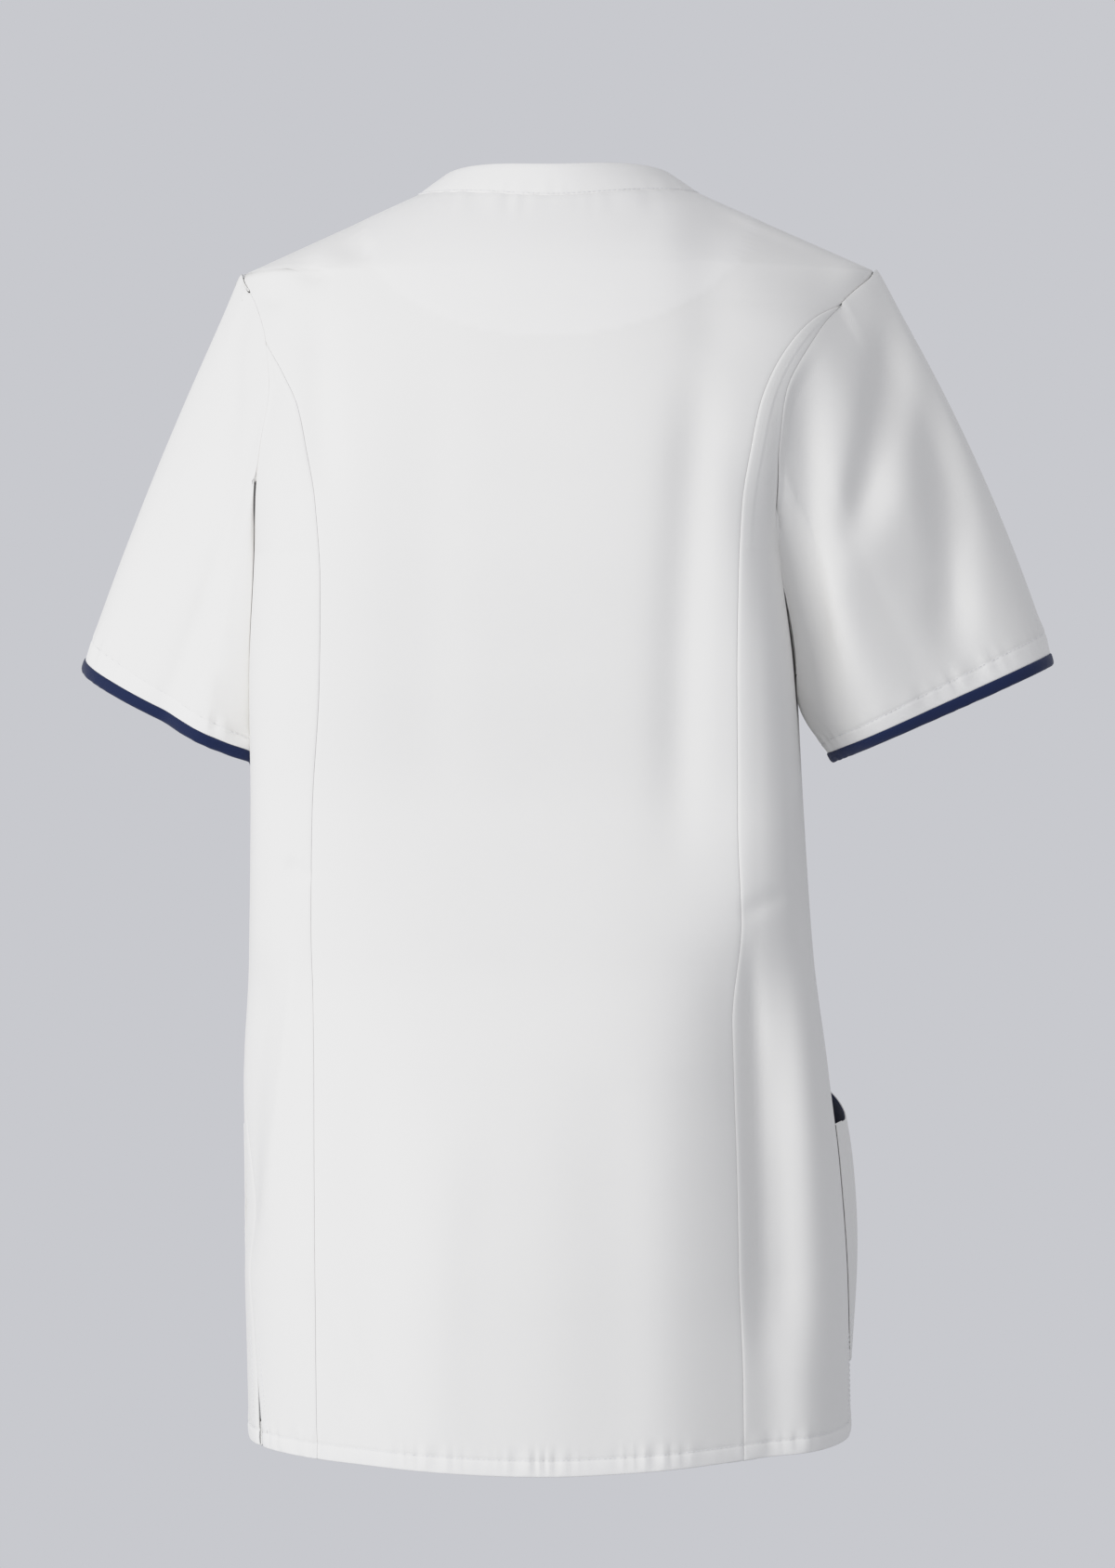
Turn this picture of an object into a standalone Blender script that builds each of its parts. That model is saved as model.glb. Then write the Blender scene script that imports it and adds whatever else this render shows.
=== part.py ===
"""A women's work tunic, filled out as when it is worn, with nobody in it.

It has a princess-seamed back, a plain V-neck front, a narrow stand band round the neck, short set-in
sleeves with navy bindings, side vents, and two patch pockets whose mouths are faced in navy.

Units are metres and +Z is up. The wearer faces -Y, and the wearer's left is +X. The origin is the
middle of the neck, level with the two points where the shoulder seams meet the neckband.

Every panel lies on one form, the body of the tunic. A place on it is given by a turn, the angle round
the body from the centre back, positive toward the wearer's left, and by a height.
"""
import math
from collections import namedtuple

import bmesh
import bpy
import numpy as np

COLLECTION_NAME = "work_tunic"

# Cloth and seams
CLOTH = 0.0015
BAND_CLOTH = 0.0020
BINDING_CLOTH = 0.0024
FACING_CLOTH = 0.0010
SEAM_GAP = 0.0003
ARMHOLE_INSET = 0.0009
LAYER_GAP = 0.0007
BAND_GAP = 0.0008
FACING_GAP = 0.0013

# Neck and shoulders
NECK_HALF_WIDTH = 0.0865
BACK_NECK_DROP = 0.0058
FRONT_NECK_DROP = 0.2350
BAND_HEIGHT = 0.0215
BAND_LEAN_BACK = math.radians(20)
BAND_LEAN_SHOULDER = math.radians(9)
BAND_LEAN_FRONT = math.radians(4)
SHOULDER_DROP = 0.0485
SHOULDER_HALF_WIDTH = 0.1940

# Armholes, hem and vents
UNDERARM_DROP = 0.2220
HEM_DROP = 0.7665
HEM_LIFT_RIGHT = 0.0110
HEM_LIFT_LEFT = 0.0085
VENT_HEIGHT = 0.0620
VENT_SPREAD = 0.0040

# The half-moon facing inside the back neck. It stops short of the shoulder seams and the neck edge.
FACING_HALF_WIDTH = 0.1200
FACING_DROP = 0.0950
FACING_SPAN = 0.985
FACING_TOP_DROP = 0.0010

# Sleeves, cuffs and their bindings. The sleeve starts just off the armhole seam.
SLEEVE_HEAD_ROUND = 0.030
SLEEVE_CLEARANCE = 0.0035
SLEEVE_ROWS_AT_SEAM = (0.0055, 0.014, 0.035, 0.070)
SLEEVE_ROWS_FROM = 0.13
BINDING_HEIGHT = 0.0070

# Patch pockets on the front. Each starts a few degrees in front of the side seam's line.
POCKET_WIDTH = 0.1500
POCKET_GIRTH_RADIUS = 0.1500
POCKET_START_LEFT = math.radians(89)
POCKET_START_RIGHT = math.radians(92)
POCKET_BOTTOM_DROP = 0.7120
POCKET_MOUTH_DROP_OUTER = 0.5680
POCKET_MOUTH_DROP_INNER = 0.5320
POCKET_MOUTH_RISE_BY = 0.62
POCKET_BULGE_LEFT = 0.0095
POCKET_BULGE_RIGHT = 0.0125

# How finely the grids are divided. A narrow strip beside a seam keeps the wall's edge square to it.
SEAM_STRIP = 0.010
COLUMNS_BACK_CENTRE = 16
COLUMNS_BACK_SIDE = 6
COLUMNS_FRONT_HALF = 10
COLUMNS_POCKET = 9
ROWS_BODY = 16
ROWS_ARMHOLE = 15
ROWS_SHOULDER = 6
ROWS_POCKET = 8
ROWS_FACING = 6
ROWS_SLEEVE = 8

# The body, level by level: the middle's shift to the left, the half width, and the depths.
Section = namedtuple("Section", "drop sway half_width back front squareness")
SECTIONS = (
    Section(0.000, 0.0020, 0.0865, 0.0440, 0.0500, 2.00),
    Section(0.048, 0.0020, 0.1940, 0.0800, 0.0780, 2.10),
    Section(0.085, 0.0075, 0.1900, 0.0960, 0.0930, 2.40),
    Section(0.125, 0.0150, 0.1800, 0.1070, 0.1080, 3.00),
    Section(0.170, 0.0210, 0.1680, 0.1130, 0.1220, 3.70),
    Section(0.215, 0.0237, 0.1600, 0.1140, 0.1330, 4.20),
    Section(0.290, 0.0221, 0.1650, 0.1060, 0.1340, 4.20),
    Section(0.380, 0.0199, 0.1679, 0.0930, 0.1170, 3.80),
    Section(0.465, 0.0180, 0.1720, 0.0940, 0.1080, 3.10),
    Section(0.534, 0.0156, 0.1786, 0.1080, 0.1130, 2.60),
    Section(0.595, 0.0118, 0.1820, 0.1190, 0.1190, 2.45),
    Section(0.666, 0.0090, 0.1840, 0.1240, 0.1220, 2.40),
    Section(0.780, 0.0065, 0.1835, 0.1240, 0.1230, 2.40),
)

# The armholes: how far out the seam lies, as a share of the body's half width, as it goes from the
# shoulder tip at 0 degrees to the underarm at 180 degrees.
Armhole = namedtuple("Armhole", "degrees back front")
ARMHOLE = (
    Armhole(0, 1.000, 1.000),
    Armhole(20, 0.985, 0.975),
    Armhole(40, 0.930, 0.905),
    Armhole(60, 0.880, 0.845),
    Armhole(80, 0.862, 0.815),
    Armhole(105, 0.910, 0.820),
    Armhole(130, 0.960, 0.865),
    Armhole(155, 0.988, 0.945),
    Armhole(180, 1.000, 1.000),
)

# The princess seams of the back: their distance from the middle of the neck, each side.
Princess = namedtuple("Princess", "drop left right")
PRINCESS = (
    Princess(0.060, 0.2000, 0.1900),
    Princess(0.072, 0.1900, 0.1715),
    Princess(0.080, 0.1820, 0.1580),
    Princess(0.095, 0.1735, 0.1440),
    Princess(0.115, 0.1610, 0.1320),
    Princess(0.135, 0.1510, 0.1245),
    Princess(0.160, 0.1450, 0.1195),
    Princess(0.195, 0.1385, 0.1140),
    Princess(0.240, 0.1355, 0.1120),
    Princess(0.300, 0.1370, 0.1110),
    Princess(0.380, 0.1430, 0.1110),
    Princess(0.450, 0.1440, 0.1130),
    Princess(0.540, 0.1415, 0.1130),
    Princess(0.780, 0.1385, 0.1150),
)

# The side seams: their turn from the centre back, each side, in degrees.
SideSeam = namedtuple("SideSeam", "drop left right")
SIDE_SEAM = (
    SideSeam(0.200, 90, 90),
    SideSeam(0.450, 88, 90),
    SideSeam(0.600, 79, 89),
    SideSeam(0.700, 73, 88),
    SideSeam(0.780, 71, 87),
)

# The cuffs: the middle, the half width and half depth of the opening, how far its line falls toward
# the body, how far it tips to the front, and how far the sleeve swells between armhole and cuff.
Cuff = namedtuple("Cuff", "side middle half_width half_depth slope tip swell")
CUFFS = {
    "left": Cuff(1, (0.2400, -0.0310, -0.3085), 0.0635, 0.0560, 25.7, 6.5, 0.004),
    "right": Cuff(-1, (0.2312, -0.0130, -0.3103), 0.0732, 0.0480, 24.1, 2.5, 0.008),
}

# The largest folds of the body: a run from one turn and drop to another, its half width, its depth.
# A ridge has a negative depth.
Fold = namedtuple("Fold", "turn_top drop_top turn_low drop_low half_width depth")
FOLDS = (
    Fold(69, 0.450, 77, 0.620, 0.022, 0.0060),
    Fold(-62, 0.440, -61, 0.660, 0.026, 0.0080),
    Fold(36, 0.500, 33, 0.800, 0.030, -0.0040),
    Fold(16, 0.540, 14, 0.800, 0.030, 0.0040),
    Fold(-8, 0.520, -10, 0.800, 0.034, -0.0040),
    Fold(-30, 0.560, -28, 0.800, 0.028, 0.0040),
    Fold(40, 0.120, 34, 0.420, 0.026, 0.0025),
    Fold(-30, 0.120, -24, 0.420, 0.026, 0.0025),
    Fold(150, 0.300, 146, 0.800, 0.034, 0.0045),
    Fold(212, 0.300, 216, 0.800, 0.034, 0.0045),
    Fold(172, 0.420, 170, 0.800, 0.034, -0.0040),
    Fold(192, 0.480, 194, 0.800, 0.030, 0.0035),
)

# The largest folds of the sleeves: a run along the sleeve at one turn round it.
SleeveFold = namedtuple("SleeveFold", "side degrees start end half_width depth")
SLEEVE_FOLDS = (
    SleeveFold("right", 118, 0.10, 0.95, 16, 0.0060),
    SleeveFold("right", 150, 0.10, 1.00, 14, -0.0040),
    SleeveFold("right", 70, 0.45, 1.00, 18, 0.0040),
    SleeveFold("left", 110, 0.15, 0.90, 18, 0.0050),
    SleeveFold("left", 60, 0.40, 1.00, 18, 0.0030),
    SleeveFold("left", 240, 0.15, 0.90, 18, 0.0050),
    SleeveFold("right", 240, 0.15, 0.90, 18, 0.0050),
)

WHITE_CLOTH = ("white_twill", (0.86, 0.86, 0.87, 1.0), 0.85)
NAVY_CLOTH = ("navy_twill", (0.012, 0.032, 0.110, 1.0), 0.80)


# Reading the tables

def smooth(xs, ys, x):
    """Read a table at x by cubics whose slopes are harmonic means, so that none overshoots its rows."""
    xs = np.asarray(xs, float)
    ys = np.asarray(ys, float)
    widths = np.diff(xs)
    rises = np.diff(ys) / widths
    before, after = rises[:-1], rises[1:]
    same_sign = before * after > 0
    slopes = np.empty_like(ys)
    slopes[0], slopes[-1] = rises[0], rises[-1]
    slopes[1:-1] = np.where(same_sign, 2 * before * after / np.where(same_sign, before + after, 1), 0)
    x = np.clip(x, xs[0], xs[-1])
    i = np.clip(np.searchsorted(xs, x, side="right") - 1, 0, len(widths) - 1)
    t = (x - xs[i]) / widths[i]
    return ((1 + 2 * t) * (1 - t) ** 2 * ys[i] + t * (1 - t) ** 2 * widths[i] * slopes[i]
            + t * t * (3 - 2 * t) * ys[i + 1] - t * t * (1 - t) * widths[i] * slopes[i + 1])


def column(table, name, x):
    """Read one named column of a table, whose first column is its key, at x."""
    keys = [row[0] for row in table]
    return smooth(keys, [getattr(row, name) for row in table], x)


def between_seams(count):
    """Shares from 0 to 1 across a panel, with a narrow strip along each end."""
    inner = np.linspace(0, 1, count + 1)[1:-1]
    return np.concatenate([[0, SEAM_STRIP], inner, [1 - SEAM_STRIP, 1]])


def ease(x):
    """Rise from 0 to 1 as x does, level at both ends."""
    x = np.clip(x, 0, 1)
    return x * x * (3 - 2 * x)


# The form of the body

def half_width(drop):
    """Half width of the body: straight along the shoulder seam, then read from the sections."""
    along_shoulder = NECK_HALF_WIDTH + (SHOULDER_HALF_WIDTH - NECK_HALF_WIDTH) * drop / SHOULDER_DROP
    below = column(SECTIONS, "half_width", np.maximum(drop, SECTIONS[1].drop))
    return np.where(drop < SHOULDER_DROP, along_shoulder, below)


def fold_depth(turn, drop, radius):
    """How far the folds draw the cloth in: each is a smooth trough across its run, fading at its ends."""
    total = np.zeros(np.broadcast(turn, drop).shape)
    for fold in FOLDS:
        along = (drop - fold.drop_top) / (fold.drop_low - fold.drop_top)
        middle = np.radians(fold.turn_top + (fold.turn_low - fold.turn_top) * np.clip(along, 0, 1))
        off = (turn - middle + math.pi) % (2 * math.pi) - math.pi
        across = off * radius / fold.half_width
        total += fold.depth * np.exp(-across ** 2) * ease(along / 0.3) * ease((1.25 - along) / 0.3)
    return total


def body(turn, height):
    """Points on the body. Each level is a superellipse |x/a|^n + |y/b|^n = 1 about its own middle."""
    drop = -np.asarray(height, float)
    turn = np.asarray(turn, float)
    a = half_width(drop)
    n = column(SECTIONS, "squareness", drop)
    b = np.where(np.cos(turn) > 0, column(SECTIONS, "back", drop), column(SECTIONS, "front", drop))
    radius = (np.abs(np.sin(turn) / a) ** n + np.abs(np.cos(turn) / b) ** n) ** (-1 / n)
    radius = radius - fold_depth(turn, drop, radius)
    x = column(SECTIONS, "sway", drop) + radius * np.sin(turn)
    return np.stack([x, radius * np.cos(turn), -drop + 0 * turn], axis=-1)


def body_normal(turn, height):
    """Outward normals of the body, from the cross product of its two slopes."""
    step = 1e-4
    round_it = body(turn + step, height) - body(turn - step, height)
    up_it = body(turn, height + step) - body(turn, height - step)
    normal = np.cross(up_it, round_it)
    return normal / np.linalg.norm(normal, axis=-1, keepdims=True)


def turn_at(share, drop, front=False):
    """The turn at which the body is this share of its half width out from its middle."""
    n = column(SECTIONS, "squareness", drop)
    a = half_width(drop)
    depth = column(SECTIONS, "front" if front else "back", drop)
    y = depth * np.maximum(1 - np.abs(share) ** n, 0) ** (1 / n)
    return np.arctan2(share * a, -y if front else y)


# The seam lines

def armhole(degrees, side, front=False, inset=0.0):
    """Turn and height of an armhole seam. An inset moves it onto the panel: inward and downward."""
    angle = np.radians(degrees)
    share = column(ARMHOLE, "front" if front else "back", degrees)
    drop = SHOULDER_DROP + (UNDERARM_DROP - SHOULDER_DROP) * (1 - np.cos(angle)) / 2
    drop = drop + inset * np.sin(angle / 2)
    share = share - inset * np.cos(angle / 2) / half_width(drop)
    return side * turn_at(share, drop, front) % (2 * math.pi), -drop


def degrees_of_drop(drop):
    """Where the armhole seam reaches this drop, in degrees from the shoulder tip."""
    fall = (drop - SHOULDER_DROP) / (UNDERARM_DROP - SHOULDER_DROP)
    return np.degrees(np.arccos(np.clip(1 - 2 * fall, -1, 1)))


def armhole_edge(drop, side):
    """Turn of the back panel's outer edge at this drop: the shoulder seam, then the armhole seam."""
    share = column(ARMHOLE, "back", degrees_of_drop(drop)) - ARMHOLE_INSET / half_width(drop)
    share = np.where(drop < SHOULDER_DROP, 1.0, share)
    seam = SEAM_GAP / 2 / half_width(drop)
    return side * np.minimum(turn_at(share, drop), math.pi / 2 - seam)


def princess_turn(drop, side):
    """Turn of a princess seam at this drop."""
    distance = column(PRINCESS, "left" if side > 0 else "right", drop)
    share = (distance - side * column(SECTIONS, "sway", drop)) / half_width(drop)
    return side * turn_at(np.minimum(share, 1), drop)


def side_turn(drop, side):
    """Turn of a side seam at this drop."""
    return side * np.radians(column(SIDE_SEAM, "left" if side > 0 else "right", drop))


def princess_top(side):
    """The drop at which a princess seam runs into the armhole seam, found by halving."""
    high, low = SHOULDER_DROP, 0.15
    for _ in range(30):
        middle = (high + low) / 2
        if abs(princess_turn(middle, side)) > abs(armhole_edge(middle, side)):
            high = middle
        else:
            low = middle
    return middle


def seam_inset(drop, side):
    """Half the seam's gap, as a turn. Below the top of the vent the two edges stand further apart."""
    down_vent = np.clip((drop - (HEM_DROP - VENT_HEIGHT)) / VENT_HEIGHT, 0, 1)
    return side * (SEAM_GAP / 2 + VENT_SPREAD * down_vent) / half_width(drop)


def hem_height(turn):
    """Height of the hem, which rides up a little toward each side."""
    right = HEM_LIFT_RIGHT * np.maximum(0, -np.sin(turn)) ** 2
    return -HEM_DROP + right + HEM_LIFT_LEFT * np.maximum(0, np.sin(turn)) ** 2


def to_hem(height, turn):
    """Shift heights so that the lowest row of a panel follows the hem."""
    down = np.clip(-height / HEM_DROP, 0, 1) ** 6
    return height + (hem_height(turn) + HEM_DROP) * down


# Making solids

def cloth_material(name, colour, roughness):
    """A plain woven cloth: its colour and how dull it is."""
    material = bpy.data.materials.get(name)
    if material is None:
        material = bpy.data.materials.new(name)
        material.use_nodes = True
        shader = material.node_tree.nodes["Principled BSDF"]
        shader.inputs["Base Color"].default_value = colour
        shader.inputs["Roughness"].default_value = roughness
        shader.inputs["Metallic"].default_value = 0.0
    return material


def wall(name, grids, cloth, thickness, closed=False):
    """A wall of cloth: a loft through grids of points, welded where they meet, thickened inward.

    The rows of a grid run up and its columns run with the turn. closed joins the last column to the
    first.
    """
    mesh = bmesh.new()
    for grid in grids:
        rows, columns = grid.shape[:2]
        vertices = [[mesh.verts.new(point) for point in row] for row in grid]
        for r in range(rows - 1):
            for c in range(columns if closed else columns - 1):
                d = (c + 1) % columns
                mesh.faces.new((vertices[r][c], vertices[r + 1][c], vertices[r + 1][d], vertices[r][d]))
    bmesh.ops.remove_doubles(mesh, verts=mesh.verts, dist=1e-5)
    data = bpy.data.meshes.new(name)
    mesh.to_mesh(data)
    mesh.free()
    data.materials.append(cloth_material(*cloth))
    data.shade_smooth()
    piece = bpy.data.objects.new(name, data)
    bpy.data.collections[COLLECTION_NAME].objects.link(piece)
    thicken = piece.modifiers.new("cloth", "SOLIDIFY")
    thicken.thickness = thickness
    thicken.offset = -1
    return piece


# The panels of the back

def back_levels():
    """Drops of the rows of the back, from the hem up. A row meets each point where an edge turns."""
    down = np.linspace(HEM_DROP, UNDERARM_DROP, ROWS_BODY + 1)
    round_armhole = np.linspace(180, 0, ROWS_ARMHOLE + 1)[1:-1]
    armhole_drops = SHOULDER_DROP + (UNDERARM_DROP - SHOULDER_DROP) * (1 - np.cos(np.radians(round_armhole))) / 2
    shoulder = np.linspace(SHOULDER_DROP, 0, ROWS_SHOULDER + 1)
    tops = [princess_top(1), princess_top(-1)]
    drops = sorted(set(down) | set(armhole_drops) | set(shoulder) | set(tops), reverse=True)
    return np.array([drops[0]] + [b for a, b in zip(drops, drops[1:]) if a - b > 0.0012])


def make_back_centre():
    """The centre back panel: neckline, shoulders, upper armholes, and the two princess seams."""
    drops = back_levels()
    edges = []
    for side in (-1, 1):
        princess = princess_turn(drops, side) - side * SEAM_GAP / 2 / half_width(drops)
        outer = armhole_edge(drops, side)
        edges.append(np.where(np.abs(princess) < np.abs(outer), princess, outer))
    across = between_seams(COLUMNS_BACK_CENTRE)
    turn = edges[0][:, None] + (edges[1] - edges[0])[:, None] * across
    height = to_hem(-drops[:, None] + 0 * turn, turn)
    near_neck = ease(1 - drops[:, None] / SHOULDER_DROP)
    height = height - BACK_NECK_DROP * np.cos(turn) ** 2 * near_neck
    wall("back_centre", [body(turn, height)], WHITE_CLOTH, CLOTH)


def make_back_side(side, name):
    """A side panel of the back, between a princess seam and the side seam or the armhole."""
    drops = back_levels()
    drops = drops[drops > princess_top(side) + 0.004]
    inner = princess_turn(drops, side) + side * SEAM_GAP / 2 / half_width(drops)
    outer = np.where(drops >= UNDERARM_DROP, side_turn(drops, side) - seam_inset(drops, side),
                     armhole_edge(drops, side))
    left, right = (inner, outer) if side > 0 else (outer, inner)
    turn = left[:, None] + (right - left)[:, None] * between_seams(COLUMNS_BACK_SIDE)
    height = to_hem(-drops[:, None] + 0 * turn, turn)
    at_underarm = np.isclose(drops, UNDERARM_DROP)[:, None]
    height = height - ARMHOLE_INSET * at_underarm
    wall(name, [body(turn, height)], WHITE_CLOTH, CLOTH)


def make_back_facing():
    """The half-moon facing, laid under the back panel. Its free edge is half an ellipse."""
    across = np.linspace(-1, 1, COLUMNS_BACK_CENTRE + 1) * FACING_SPAN
    shoulder_share = (FACING_HALF_WIDTH - NECK_HALF_WIDTH) / (SHOULDER_HALF_WIDTH - NECK_HALF_WIDTH)
    end_drop = SHOULDER_DROP * shoulder_share
    top_turn = across * math.pi / 2
    top_drop = FACING_TOP_DROP + BACK_NECK_DROP * np.cos(top_turn) ** 2
    low_drop = end_drop + (FACING_DROP - end_drop) * np.sqrt(1 - across ** 2)
    low_turn = np.sign(across) * turn_at(np.abs(across) * FACING_HALF_WIDTH / half_width(low_drop), low_drop)
    up = np.linspace(0, 1, ROWS_FACING + 1)[:, None]
    turn = low_turn + (top_turn - low_turn) * up
    height = -(low_drop + (top_drop - low_drop) * up)
    points = body(turn, height) - body_normal(turn, height) * (CLOTH + FACING_GAP)
    wall("back_neck_facing", [points], WHITE_CLOTH, FACING_CLOTH)


# The front

def v_line(share_up, side):
    """Turn and height on one side of the V neck, from its point at 0 to the shoulder at 1."""
    drop = FRONT_NECK_DROP * (1 - share_up) ** 2
    top = SECTIONS[0].sway + side * NECK_HALF_WIDTH
    point = column(SECTIONS, "sway", FRONT_NECK_DROP)
    x = top + (point - top) * drop / FRONT_NECK_DROP
    share = side * (x - column(SECTIONS, "sway", drop)) / half_width(drop)
    share = np.clip(share, 0, 1)
    return side * turn_at(share, drop, front=True) % (2 * math.pi), -drop


def front_rows():
    """Shares of the way up from the point of the V to the shoulder, for the rows of the front."""
    return np.append(np.linspace(0, 1, ROWS_ARMHOLE + 1)[:-1], [1 - SEAM_STRIP, 1])


def make_front():
    """The front panel in one piece: two halves that meet down the middle, below the V neck."""
    below = np.linspace(0, 1, ROWS_BODY + 1)
    above = front_rows()
    across = between_seams(COLUMNS_FRONT_HALF)[:-2]
    across = np.append(across, 1)
    grids = []
    for side in (1, -1):
        side_drop = HEM_DROP + (UNDERARM_DROP + ARMHOLE_INSET - HEM_DROP) * below
        middle_drop = HEM_DROP + (FRONT_NECK_DROP - HEM_DROP) * below
        outer_turn = np.abs(side_turn(side_drop, side)) + np.abs(seam_inset(side_drop, side))
        turn = outer_turn[:, None] + (math.pi - outer_turn)[:, None] * across
        drop = side_drop[:, None] + (middle_drop - side_drop)[:, None] * across
        signed = turn if side > 0 else 2 * math.pi - turn
        low = body(signed, to_hem(-drop, signed))

        edge_turn, edge_height = armhole(180 * (1 - above), side, front=True, inset=ARMHOLE_INSET)
        neck_turn, neck_height = v_line(above, side)
        seam = SEAM_GAP / 2 / SHOULDER_HALF_WIDTH
        edge_turn = edge_turn if side > 0 else 2 * math.pi - edge_turn
        neck_turn = neck_turn if side > 0 else 2 * math.pi - neck_turn
        edge_turn = np.maximum(edge_turn, math.pi / 2 + seam)
        neck_turn = np.where(above > 0, np.maximum(neck_turn, math.pi / 2 + seam), math.pi)
        edge_turn[0] = outer_turn[-1]
        edge_height[0] = -side_drop[-1]
        turn = edge_turn[:, None] + (neck_turn - edge_turn)[:, None] * across
        height = edge_height[:, None] + (neck_height - edge_height)[:, None] * across
        signed = turn if side > 0 else 2 * math.pi - turn
        high = body(signed, height)
        if side < 0:
            low, high = low[:, ::-1], high[:, ::-1]
        grids += [low, high]
    wall("front", grids, WHITE_CLOTH, CLOTH)


# The neckband

def lift_from(turn, height, along, lean):
    """Directions off the neckline: in the cloth's plane, square to the seam, then leaned outward."""
    normal = body_normal(turn, height)
    along = along / np.linalg.norm(along, axis=-1, keepdims=True)
    in_plane = np.cross(along, normal)
    in_plane /= np.linalg.norm(in_plane, axis=-1, keepdims=True)
    return in_plane * np.cos(lean)[:, None] + normal * np.sin(lean)[:, None]


def shares_along(points):
    """How far along a line of points each one lies, as a share of the line's length."""
    steps = np.concatenate([[0], np.cumsum(np.linalg.norm(np.diff(points, axis=0), axis=1))])
    return steps / steps[-1]


def at_shares(points, shares):
    """The points that lie at these shares of the length of a line of points."""
    own = shares_along(points)
    return np.stack([np.interp(shares, own, points[:, i]) for i in range(3)], axis=1)


def band_edges(turn, height, seam, along):
    """The two edges of the band beside a stretch of the neckline: next to the seam, and free."""
    behind = np.maximum(np.cos(turn), 0) ** 2
    lean = BAND_LEAN_FRONT + (BAND_LEAN_SHOULDER - BAND_LEAN_FRONT) * ease((height + 0.10) / 0.09)
    lean = lean + (BAND_LEAN_BACK - BAND_LEAN_SHOULDER) * behind
    direction = lift_from(turn, height, along, lean)
    return seam + direction * BAND_GAP, seam + direction * BAND_HEIGHT


def make_neckband():
    """The stand band: up from the back neckline, flat beside the V, and mitred at its point."""
    turn = math.pi * (between_seams(COLUMNS_BACK_CENTRE) - 0.5)
    height = -BACK_NECK_DROP * np.cos(turn) ** 2
    seam = body(turn, height)
    back_low, back_high = band_edges(turn, height, seam, np.gradient(seam, axis=0))

    sides = {}
    for side in (1, -1):
        turn, height = v_line(front_rows(), side)
        turn[0] = math.pi
        seam = body(turn, height)
        low, high = band_edges(turn, height, seam, side * np.gradient(seam[::-1], axis=0)[::-1])
        clear = side * (high[:, 0] - seam[0, 0]) > 0.002
        sides[side] = seam[0], low, high, high[clear]
    mitre = (sides[1][3][0] + sides[-1][3][0]) / 2
    mitre_low = sides[1][0] + (mitre - sides[1][0]) * BAND_GAP / BAND_HEIGHT
    lows, highs = [back_low], [back_high]
    for side in (1, -1):
        low = np.vstack([mitre_low, sides[side][1][1:]])
        high = at_shares(np.vstack([mitre, sides[side][3]]), shares_along(low))
        low, high = low[:-1], high[:-1]
        lows.append(low[::-1] if side > 0 else low[1:])
        highs.append(high[::-1] if side > 0 else high[1:])
    lows, highs = np.vstack(lows), np.vstack(highs)
    wall("neckband", [np.stack([lows, (lows + highs) / 2, highs])], WHITE_CLOTH, BAND_CLOTH, closed=True)


# The sleeves

def cuff_frame(cuff):
    """Unit vectors in the plane of a cuff: out from the body, and back."""
    slope, tip = math.radians(cuff.slope), math.radians(cuff.tip)
    out = np.array([cuff.side * math.cos(slope), 0.0, math.sin(slope)])
    down = np.array([cuff.side * math.sin(slope) * math.cos(tip), -math.sin(tip),
                     -math.cos(slope) * math.cos(tip)])
    back = np.cross(out, down) * cuff.side
    return out, back


def keep_clear(points, clearance, blend=0.003):
    """Move points out from the body's middle where they are nearer to the body than the clearance."""
    drop = -points[..., 2]
    x = points[..., 0] - column(SECTIONS, "sway", drop)
    y = points[..., 1]
    radius = np.hypot(x, y)
    surface = body(np.arctan2(x, y), -drop)
    surface_radius = np.hypot(surface[..., 0] - column(SECTIONS, "sway", drop), surface[..., 1])
    lack = surface_radius + clearance - radius
    push = np.where(lack > blend, lack, np.maximum(lack + blend, 0) ** 2 / (4 * blend))
    outward = np.stack([x / radius, y / radius, 0 * x], axis=-1)
    return points + outward * push[..., None]


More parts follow.
